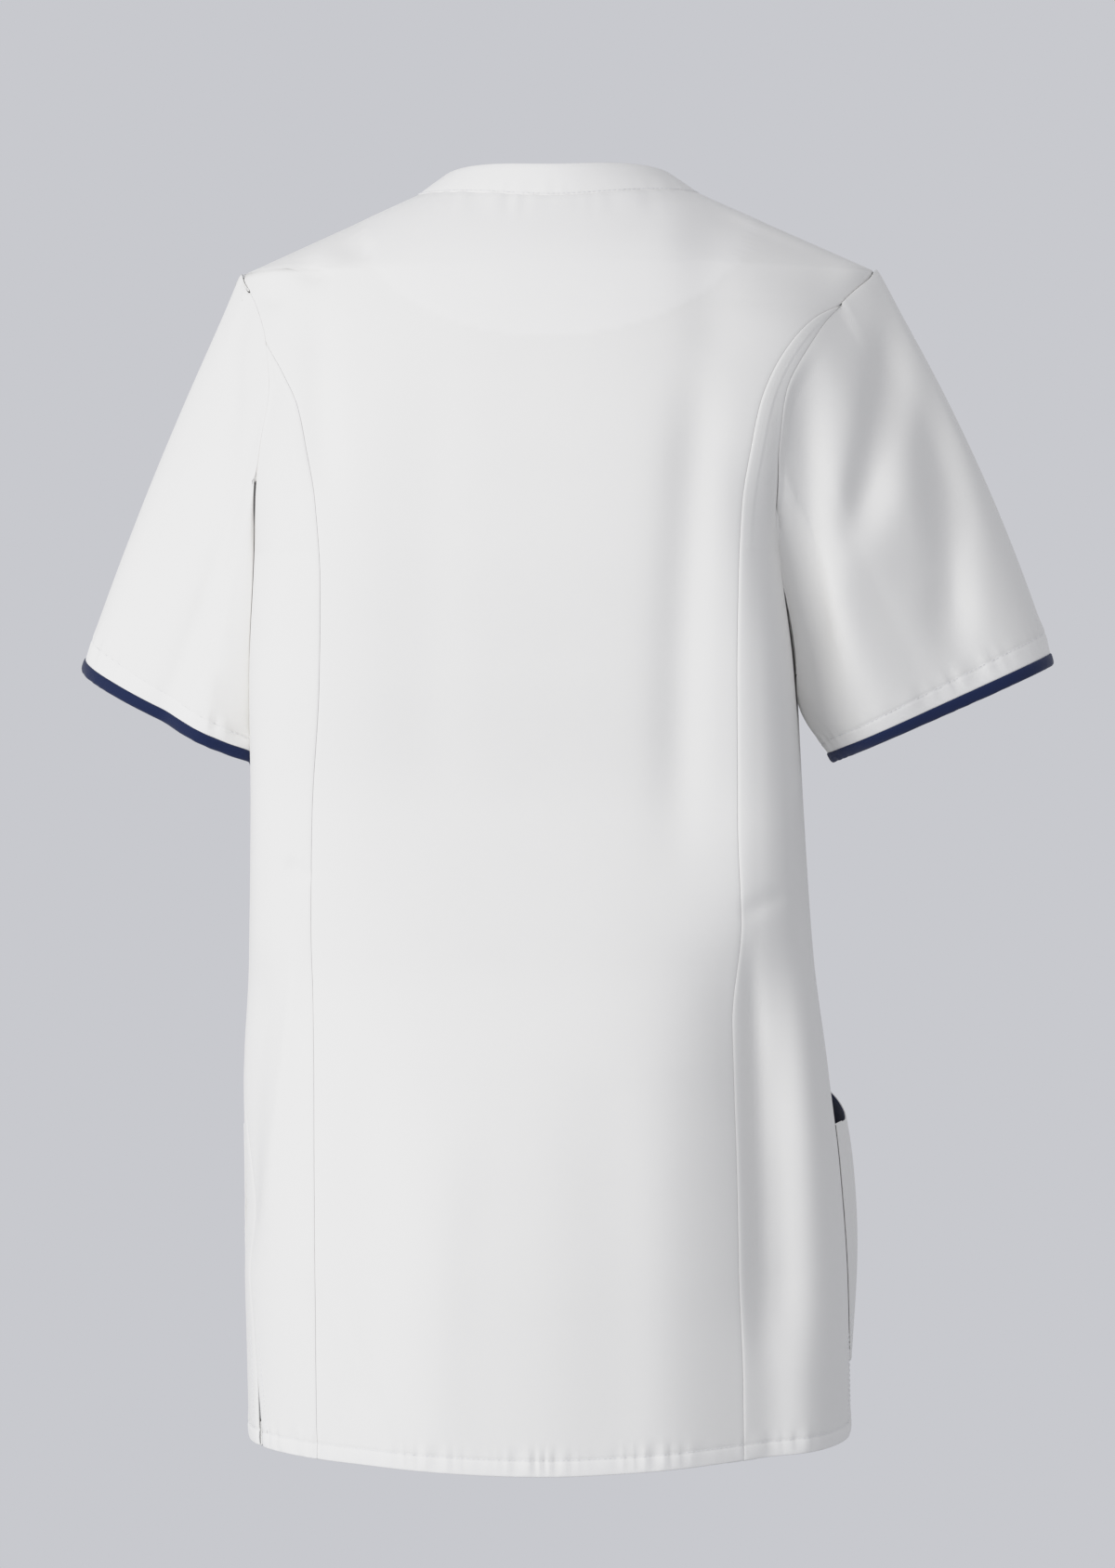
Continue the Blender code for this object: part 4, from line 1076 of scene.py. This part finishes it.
def make_sleeve(name):
    """A sleeve: its surface from the armhole to the cuff, with a turned-in seam at the armhole.

    Returns the points of its edge, and the directions onward past it.
    """
    side = CUFFS[name].side
    degrees = SLEEVE_DEGREES
    seam_off = np.array([edge.off for edge in SLEEVE_EDGE]) / SLEEVE_LENGTH
    visible = np.arange(len(SLEEVE_EDGE)) >= HIDDEN_ROWS
    seam_depth = np.array([edge.depth for edge in SLEEVE_EDGE]) * np.where(visible, ARMHOLE_PRESS, 1)
    face = np.linspace(seam_off[-1], CLOSE_ROWS_FROM, 62)[1:]
    near_cuff = np.linspace(CLOSE_ROWS_FROM, 1, 22)[1:]
    along = np.concatenate([seam_off, face, near_cuff])
    depth = np.concatenate([seam_depth, np.zeros(len(along) - len(seam_off))])
    points = sleeve_points(name, degrees, along)
    outward = sleeve_normal(name, degrees, along)
    behind = ease((np.sin(np.radians(degrees)) - 0.25) / 0.35)
    creases = crease_depth(points[..., 0], -points[..., 2], SLEEVE_CREASES[name]) * behind
    creases = creases * ease(along / 0.05)[:, None]
    to_edge = (1 - along) * SLEEVE_LENGTH
    around = np.radians(degrees) * CUFF_RADIUS
    stitched = CUFF_GROOVE * bell((to_edge - CUFF_STITCH) / GROOVE_HALF_WIDTH)[:, None]
    puckers = CUFF_PUCKER * ripple(around[None, :], CUFF_PUCKER_PITCH, 2.0 + side)
    puckers = puckers * bell((to_edge - CUFF_STITCH) / CUFF_PUCKER_SPREAD)[:, None]
    points = points - outward * (depth[:, None] + creases + stitched + puckers)[..., None]
    grid = points[::-1]
    if side > 0:
        grid = grid[:, ::-1]
    double = ease((CUFF_STITCH - to_edge[::-1]) / LAYER_EDGE)[:, None]
    piece = cloth_piece("sleeve_" + name, [grid], [double], WHITE_TWILL, closed=True)
    return grid[0], grid[0] - grid[3]


# The cuff bindings
# A folded strip of navy twill round the edge of each sleeve, sewn on from inside.

NAVY_TWILL = twill_material("navy_cloth", (0.005, 0.015, 0.068), (0.005, 0.015, 0.068),
                            1700.0, 0.75, 0.20)

# The binding's section, down its outside, round its fold and up its inside: how far past the sleeve's
# edge, and how far outward.
Turned = namedtuple("Turned", "past outward")
BINDING_SECTION = (
    Turned(-0.0004, -0.0008), Turned(-0.0002, 0.0003), Turned(0.0004, 0.0008), Turned(0.0020, 0.0010),
    Turned(0.0042, 0.0010), Turned(0.0060, 0.0007), Turned(0.0070, 0.0), Turned(0.0072, -0.0008),
    Turned(0.0069, -0.0015), Turned(0.0058, -0.0018), Turned(0.0030, -0.0018), Turned(0.0004, -0.0017),
    Turned(-0.0004, -0.0012),
)


def make_binding(name, edge, onward):
    """The binding: its section carried round the sleeve's edge."""
    onward = unit(onward)
    along = np.roll(edge, -1, axis=0) - np.roll(edge, 1, axis=0)
    outward = unit(np.cross(along, onward))
    outward = outward * np.sign(np.sum(outward * (edge - edge.mean(axis=0)), axis=1).mean())
    rows = [edge + onward * part.past + outward * part.outward for part in BINDING_SECTION]
    piece = make_mesh("cuff_binding_" + name + "_cloth", [np.stack(rows)], [np.zeros(1)], NAVY_TWILL,
                      closed=True)
    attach(piece, "root")
    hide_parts("cuff_binding_" + name)


for name in ("left", "right"):
    edge, onward = make_sleeve(name)
    make_binding(name, edge, onward)


# The pockets
# Two white patch pockets on the front, by the side seams, topstitched round three sides. Their mouths
# slope and stand open, and are faced inside with the navy twill.

POCKET_WIDTH = 0.1500
POCKET_HEIGHT = 0.17
POCKET_GIRTH_RADIUS = 0.1500
POCKET_START_LEFT = math.radians(89)
POCKET_START_RIGHT = math.radians(92)
POCKET_BOTTOM_DROP = 0.7120
POCKET_MOUTH_DROP_OUTER = 0.5680
POCKET_MOUTH_DROP_INNER = 0.5320
POCKET_MOUTH_RISE_BY = 0.62
POCKET_BULGE_LEFT = 0.0095
POCKET_BULGE_RIGHT = 0.0145
POCKET_RISE_LEFT = 0.040
POCKET_RISE_RIGHT = 0.013
POCKET_LIFT = 0.0012
POCKET_STITCH = 0.0050
FACING_DEPTH = 0.030
FACING_THICKNESS = 0.0004
POCKET_GROOVE = 0.0004
POCKET_PUCKER = 0.0002
POCKET_PUCKER_PITCH = 0.011
POCKET_PUCKER_SEED = 5.0
POCKET_PUCKER_SPREAD = 0.0045

# The pocket's folded edge: how far from its edge, and how deep below its face.
PATCH_EDGE = (Edge(0.0080, 0.0010), Edge(0.0010, 0.0010), Edge(0.0002, 0.0009), Edge(0.0, 0.0005),
              Edge(0.0003, 0.0002), Edge(0.0010, 0.0))


def pocket_face(side, across, up, inward=0.0):
    """Points of a pocket's face, from its outer edge at 0 across and its bottom at 0 up.

    Its mouth slopes up from the outer edge. It stands off as one soft bulge, which rises within a
    width of each side, is fullest above the middle and leaves the mouth standing open.
    """
    start = POCKET_START_LEFT if side > 0 else POCKET_START_RIGHT
    turn = start + POCKET_WIDTH / POCKET_GIRTH_RADIUS * across
    rise = (POCKET_MOUTH_DROP_INNER - POCKET_MOUTH_DROP_OUTER) * ease(across / POCKET_MOUTH_RISE_BY)
    drop = POCKET_BOTTOM_DROP + (POCKET_MOUTH_DROP_OUTER + rise - POCKET_BOTTOM_DROP) * up
    to_side = np.minimum(across, 1 - across) * POCKET_WIDTH
    bulge, width = ((POCKET_BULGE_LEFT, POCKET_RISE_LEFT) if side > 0
                    else (POCKET_BULGE_RIGHT, POCKET_RISE_RIGHT))
    sideways = np.sin(math.pi * np.clip(across, 0, 1)) ** 0.45 * ease((to_side + 0.001) / width)
    fullness = sideways * np.sin(math.pi * (0.06 + 0.60 * np.clip(up, 0, 1))) ** 1.2
    signed = mirrored(turn, side)
    points = skin(signed, drop, 0 * drop)
    return points + body_normal(signed, drop) * (POCKET_LIFT + bulge * fullness - inward)[..., None]


def share_columns(length, count, first, last):
    """Shares of a length from 0 to 1, with the turned-in columns of each end, and their depths."""
    start = [edge.off / length for edge in first]
    stop = [1 - edge.off / length for edge in reversed(last)]
    inner = list(np.linspace(start[-1] if start else 0, stop[0] if stop else 1, count))
    inner = inner[1:] if start else inner
    inner = inner[:-1] if stop else inner
    depth = [edge.depth for edge in first] + [0.0] * len(inner) + [edge.depth for edge in reversed(last)]
    return np.array(start + inner + stop), np.array(depth)


def pocket_sewing(across, up):
    """How deep the topstitching draws in a pocket: a groove and puckers round its three sewn sides."""
    off = np.minimum(np.minimum(across, 1 - across) * POCKET_WIDTH, up * POCKET_HEIGHT)
    along = (across + up) * POCKET_WIDTH
    groove = POCKET_GROOVE * bell((off - POCKET_STITCH) / GROOVE_HALF_WIDTH)
    near = bell((off - POCKET_STITCH) / POCKET_PUCKER_SPREAD)
    return groove + POCKET_PUCKER * ripple(along, POCKET_PUCKER_PITCH, POCKET_PUCKER_SEED) * near


def make_pocket(side, name):
    """A patch pocket and the navy facing down the inside of its mouth."""
    across, depth_across = share_columns(POCKET_WIDTH, 64, PATCH_EDGE, PATCH_EDGE)
    up, depth_up = share_columns(POCKET_HEIGHT, 72, PATCH_EDGE, PATCH_EDGE[3:])
    across_grid, up_grid = across[None, :] + 0 * up[:, None], up[:, None] + 0 * across[None, :]
    depth = depth_across[None, :] + depth_up[:, None] + pocket_sewing(across_grid, up_grid)
    points = pocket_face(side, across_grid, up_grid, depth)
    points = points if side > 0 else points[:, ::-1]
    piece = cloth_piece("pocket_" + name, [points], [np.zeros(1)], WHITE_TWILL)

    across = np.linspace(0.01, 0.99, 60)[None, :]
    up = np.linspace(1 - FACING_DEPTH / POCKET_HEIGHT, 0.998, 14)[:, None]
    points = pocket_face(side, across + 0 * up, up + 0 * across, CLOTH + 0.0003 + 0 * up * across)
    points = points if side > 0 else points[:, ::-1]
    piece = make_mesh("pocket_facing_" + name + "_cloth", [points], [np.zeros(1)], NAVY_TWILL)
    thicken = piece.modifiers.new("cloth", "SOLIDIFY")
    thicken.thickness = FACING_THICKNESS
    thicken.offset = -1
    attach(piece, "root")
    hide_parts("pocket_facing_" + name)


for side, name in ((1, "left"), (-1, "right")):
    make_pocket(side, name)


# The topstitching
# Rows of white lockstitch in thread about 0.38 mm thick: round the hem and the vents, the cuffs, the
# neckband's seam and the pockets, with a navy bar tack on each pocket's outer edge.

STITCH_PITCH = 0.0031
STITCH_LENGTH = 0.0025
THREAD_RADIUS = 0.00019
STITCH_SIDES = 6

# The share of the way up a pocket at which its bar tack lies.
BAR_TACK_UP = 0.68


def thread_material(name, colour):
    """Sewing thread: its colour, with the faint shine of twisted polyester."""
    material = bpy.data.materials.new(name)
    material.use_nodes = True
    tree = material.node_tree
    shader = tree.nodes["Principled BSDF"]
    twist = tree.nodes.new("ShaderNodeTexNoise")
    twist.inputs["Scale"].default_value = 2500.0
    place = tree.nodes.new("ShaderNodeTexCoord")
    tree.links.new(place.outputs["Object"], twist.inputs["Vector"])
    tone = tree.nodes.new("ShaderNodeMix")
    tone.data_type = "RGBA"
    tone.inputs["A"].default_value = (*[0.92 * c for c in colour], 1.0)
    tone.inputs["B"].default_value = (*colour, 1.0)
    tree.links.new(twist.outputs["Fac"], tone.inputs["Factor"])
    tree.links.new(tone.outputs["Result"], shader.inputs["Base Color"])
    shader.inputs["Roughness"].default_value = 0.55
    return material


WHITE_THREAD = thread_material("white_thread", (0.86, 0.86, 0.87))
NAVY_THREAD = thread_material("navy_thread", (0.008, 0.02, 0.07))


def sew(name, paths, material, pitch=STITCH_PITCH, length=STITCH_LENGTH, radius=THREAD_RADIUS):
    """Stitches along paths, each given as points and outward directions.

    A stitch is a short six-sided thread of five rings that bows up out of the cloth: its height is
    radius * (1.5 sin(pi t) - 0.6), t being the share of the way along it.
    """
    shares = np.linspace(0, 1, 5)
    rings = []
    for points, outward in paths:
        steps = distances_along(points)
        starts = np.arange(0, steps[-1] - length, pitch)
        places = starts[:, None] + length * shares
        centre = np.stack([np.interp(places, steps, points[:, i]) for i in range(3)], axis=-1)
        out = unit(np.stack([np.interp(places, steps, outward[:, i]) for i in range(3)], axis=-1))
        forward = unit(centre[:, -1:] - centre[:, :1])
        aside = np.cross(forward, out)
        height = radius * (1.5 * np.sin(math.pi * shares) - 0.6)
        thick = radius * (0.55 + 0.45 * np.sin(math.pi * shares))
        angle = np.linspace(0, 2 * math.pi, STITCH_SIDES, endpoint=False)
        ring = (np.cos(angle)[:, None] * aside[:, :, None] + np.sin(angle)[:, None] * out[:, :, None])
        rings.append((centre + out * height[:, None])[:, :, None] + ring * thick[:, None, None])
    verts = np.concatenate(rings)
    count = len(verts)
    number = np.arange(verts[..., 0].size).reshape(verts.shape[:3])
    following = np.roll(number, -1, axis=2)
    sides = np.stack([number[:, :-1], following[:, :-1], following[:, 1:], number[:, 1:]], axis=-1)
    caps = [number[:, end][:, list(order)] for end, order in
            ((0, (3, 2, 1, 0)), (0, (5, 4, 3, 0)), (-1, (0, 1, 2, 3)), (-1, (0, 3, 4, 5)))]
    faces = np.concatenate([sides.reshape(-1, 4)] + [cap.reshape(-1, 4) for cap in caps])
    mesh = bpy.data.meshes.new(name)
    mesh.from_pydata(verts.reshape(-1, 3).tolist(), [], faces.tolist())
    mesh.shade_smooth()
    mesh.materials.append(material)
    piece = add_object(name, mesh)
    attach(piece, "root")
    return count


def body_path(turn, drop, depth=0.0):
    """A path on the creased body, with its outward directions."""
    return skin(turn, drop, depth + 0 * turn), body_normal(turn, drop)


def hem_path(first, last):
    """The hem's topstitching between two turns, where it is drawn into its groove."""
    turn = np.linspace(first, last, 400)
    depth = hem_sewing(HEM_DEPTH + 0 * turn, turn)
    return body_path(turn, to_hem(HEM_DROP - HEM_DEPTH + 0 * turn, turn), depth)


def vent_path(side, toward_back):
    """The topstitching beside a vent, from the hem's row up to the vent's top."""
    drop = np.linspace(HEM_DROP - HEM_DEPTH, HEM_DROP - VENT_HEIGHT - 0.006, 40)
    away = 0.0075 / half_width(drop) + vent_gap(drop)
    turn = side_turn(drop, side) + side * (-away if toward_back else away)
    return body_path(turn, to_hem(drop, turn))


def pocket_path(side, across, up):
    """A path on a pocket's face, with its outward directions."""
    points = pocket_face(side, across, up, 0.0003 + 0 * across)
    middle = pocket_face(side, np.full(1, 0.5), np.full(1, 0.5), np.zeros(1))
    ahead = np.gradient(points, axis=0)
    centre = middle[0] * (0.4, 0.4, 1.0)
    outward = points - centre
    outward -= ahead * (np.sum(outward * ahead, axis=1) / np.sum(ahead * ahead, axis=1))[:, None]
    return points, unit(outward)


low_drop = HEM_DROP - HEM_DEPTH
left_vent = side_turn(low_drop, 1)
right_vent = side_turn(low_drop, -1)
gap = vent_gap(low_drop)
sew("hem_stitches", [
    hem_path(right_vent + gap + 0.03, left_vent - gap - 0.03),
    hem_path(left_vent + gap + 0.03, 2 * math.pi + right_vent - gap - 0.03),
] + [vent_path(side, behind) for side in (1, -1) for behind in (True, False)], WHITE_THREAD)

band_low, band_high = band_lines()
band_out = band_outward(band_low, band_high)
band_row = band_low + (band_high - band_low) * 0.055 + band_out * 0.0005
sew("neckband_stitches", [(band_row, band_out)], WHITE_THREAD)

pocket_rows = []
for side in (1, -1):
    edge = POCKET_STITCH / POCKET_WIDTH
    low = POCKET_STITCH / POCKET_HEIGHT
    run = np.linspace(low, 0.985, 120)
    pocket_rows += [pocket_path(side, edge + 0 * run, run), pocket_path(side, 1 - edge + 0 * run, run)]
    run = np.linspace(edge, 1 - edge, 120)
    pocket_rows += [pocket_path(side, run, low + 0 * run),
                    pocket_path(side, run, 1 - FACING_DEPTH / POCKET_HEIGHT + 0.02 + 0 * run)]
sew("pocket_stitches", pocket_rows, WHITE_THREAD)

tacks = []
for side in (1, -1):
    run = np.linspace(0.008, 0.045, 12)
    for lower in (0.0, 0.0004, 0.0008):
        tacks.append(pocket_path(side, run, BAR_TACK_UP - lower / POCKET_HEIGHT + 0 * run))
sew("pocket_bar_tacks", tacks, NAVY_THREAD, pitch=0.0012, length=0.0012)

sleeve_rows = []
for name in ("left", "right"):
    along = np.array([1 - CUFF_STITCH / SLEEVE_LENGTH])
    points = sleeve_points(name, SLEEVE_DEGREES, along)[0]
    outward = sleeve_normal(name, SLEEVE_DEGREES, along)[0]
    sleeve_rows.append((points - outward * 0.0002, outward))
sew("cuff_stitches", sleeve_rows, WHITE_THREAD)


# The studio
# A plain pale floor far below the hem, an even pale surround, and one large soft light from the left
# of the picture, behind the tunic's left shoulder.

CAMERA_AZIMUTH = math.radians(184)
CAMERA_DISTANCE = 2.9
CAMERA_HEIGHT = -0.36
LENS = 108.8
SHIFT_TO_RIGHT = -4 / 1688
FLOOR_HEIGHT = -1.38
SURROUND = (0.577, 0.584, 0.617, 1.0)
KEY_AZIMUTH = math.radians(184 - 41)
KEY_ELEVATION = math.radians(10)
KEY_DISTANCE = 2.3
KEY_SIZE = 1.2
KEY_POWER = 27.5
KEY_AIM = (0.0, 0.0, -0.38)
FLOOR_REACH = 2.6


def direction(azimuth, elevation):
    """Unit vector from the tunic toward an azimuth and elevation. Azimuth 0 is in front of the wearer."""
    return (math.sin(azimuth) * math.cos(elevation), -math.cos(azimuth) * math.cos(elevation),
            math.sin(elevation))


def make_camera():
    """The camera, level, behind the tunic."""
    data = bpy.data.cameras.new("camera")
    data.lens = LENS
    data.sensor_width = 36.0
    data.shift_x = SHIFT_TO_RIGHT
    camera = add_object("camera", data)
    x, y, _ = direction(CAMERA_AZIMUTH, 0)
    camera.location = (x * CAMERA_DISTANCE, y * CAMERA_DISTANCE, CAMERA_HEIGHT)
    camera.rotation_euler = (math.pi / 2, 0, CAMERA_AZIMUTH)
    bpy.context.scene.camera = camera


def make_floor():
    """The floor: one large pale plane."""
    mesh = bpy.data.meshes.new("floor")
    corners = [(x * FLOOR_REACH, y * FLOOR_REACH, 0) for x, y in ((-1, -1), (1, -1), (1, 1), (-1, 1))]
    mesh.from_pydata(corners, [], [(0, 1, 2, 3)])
    floor = add_object("floor", mesh)
    floor.location.z = FLOOR_HEIGHT
    material = bpy.data.materials.new("floor")
    material.use_nodes = True
    shader = material.node_tree.nodes["Principled BSDF"]
    shader.inputs["Base Color"].default_value = (0.60, 0.61, 0.63, 1.0)
    shader.inputs["Roughness"].default_value = 0.9
    mesh.materials.append(material)


def make_lights():
    """The surround and the key light."""
    world = bpy.data.worlds.new("studio")
    world.use_nodes = True
    world.node_tree.nodes["Background"].inputs["Color"].default_value = SURROUND
    bpy.context.scene.world = world
    data = bpy.data.lights.new("key", "AREA")
    data.shape = "SQUARE"
    data.size = KEY_SIZE
    data.energy = KEY_POWER
    key = add_object("key", data)
    aim = np.array(KEY_AIM)
    place = aim + KEY_DISTANCE * np.array(direction(KEY_AZIMUTH, KEY_ELEVATION))
    key.location = place
    key.rotation_euler = Vector(aim - place).to_track_quat("-Z", "Y").to_euler()


# The picture's highlights: scene brightness, and the brightness it is shown with, which levels off so
# that lit white cloth keeps its tone.
Tone = namedtuple("Tone", "scene shown")
TONES = (Tone(0.00, 0.000), Tone(0.20, 0.200), Tone(0.40, 0.400), Tone(0.60, 0.600), Tone(0.76, 0.760),
         Tone(0.84, 0.812), Tone(0.92, 0.838), Tone(1.00, 0.852))


def set_tones():
    """Plain tones with soft highlights."""
    settings = bpy.context.scene.view_settings
    settings.view_transform = "Standard"
    settings.use_curve_mapping = True
    mapping = settings.curve_mapping
    mapping.extend = "HORIZONTAL"
    points = mapping.curves[3].points
    points[0].location = (TONES[0].scene, TONES[0].shown)
    points[-1].location = (TONES[-1].scene, TONES[-1].shown)
    for tone in TONES[1:-1]:
        points.new(tone.scene, tone.shown)
    mapping.update()


make_camera()
make_floor()
make_lights()
set_tones()
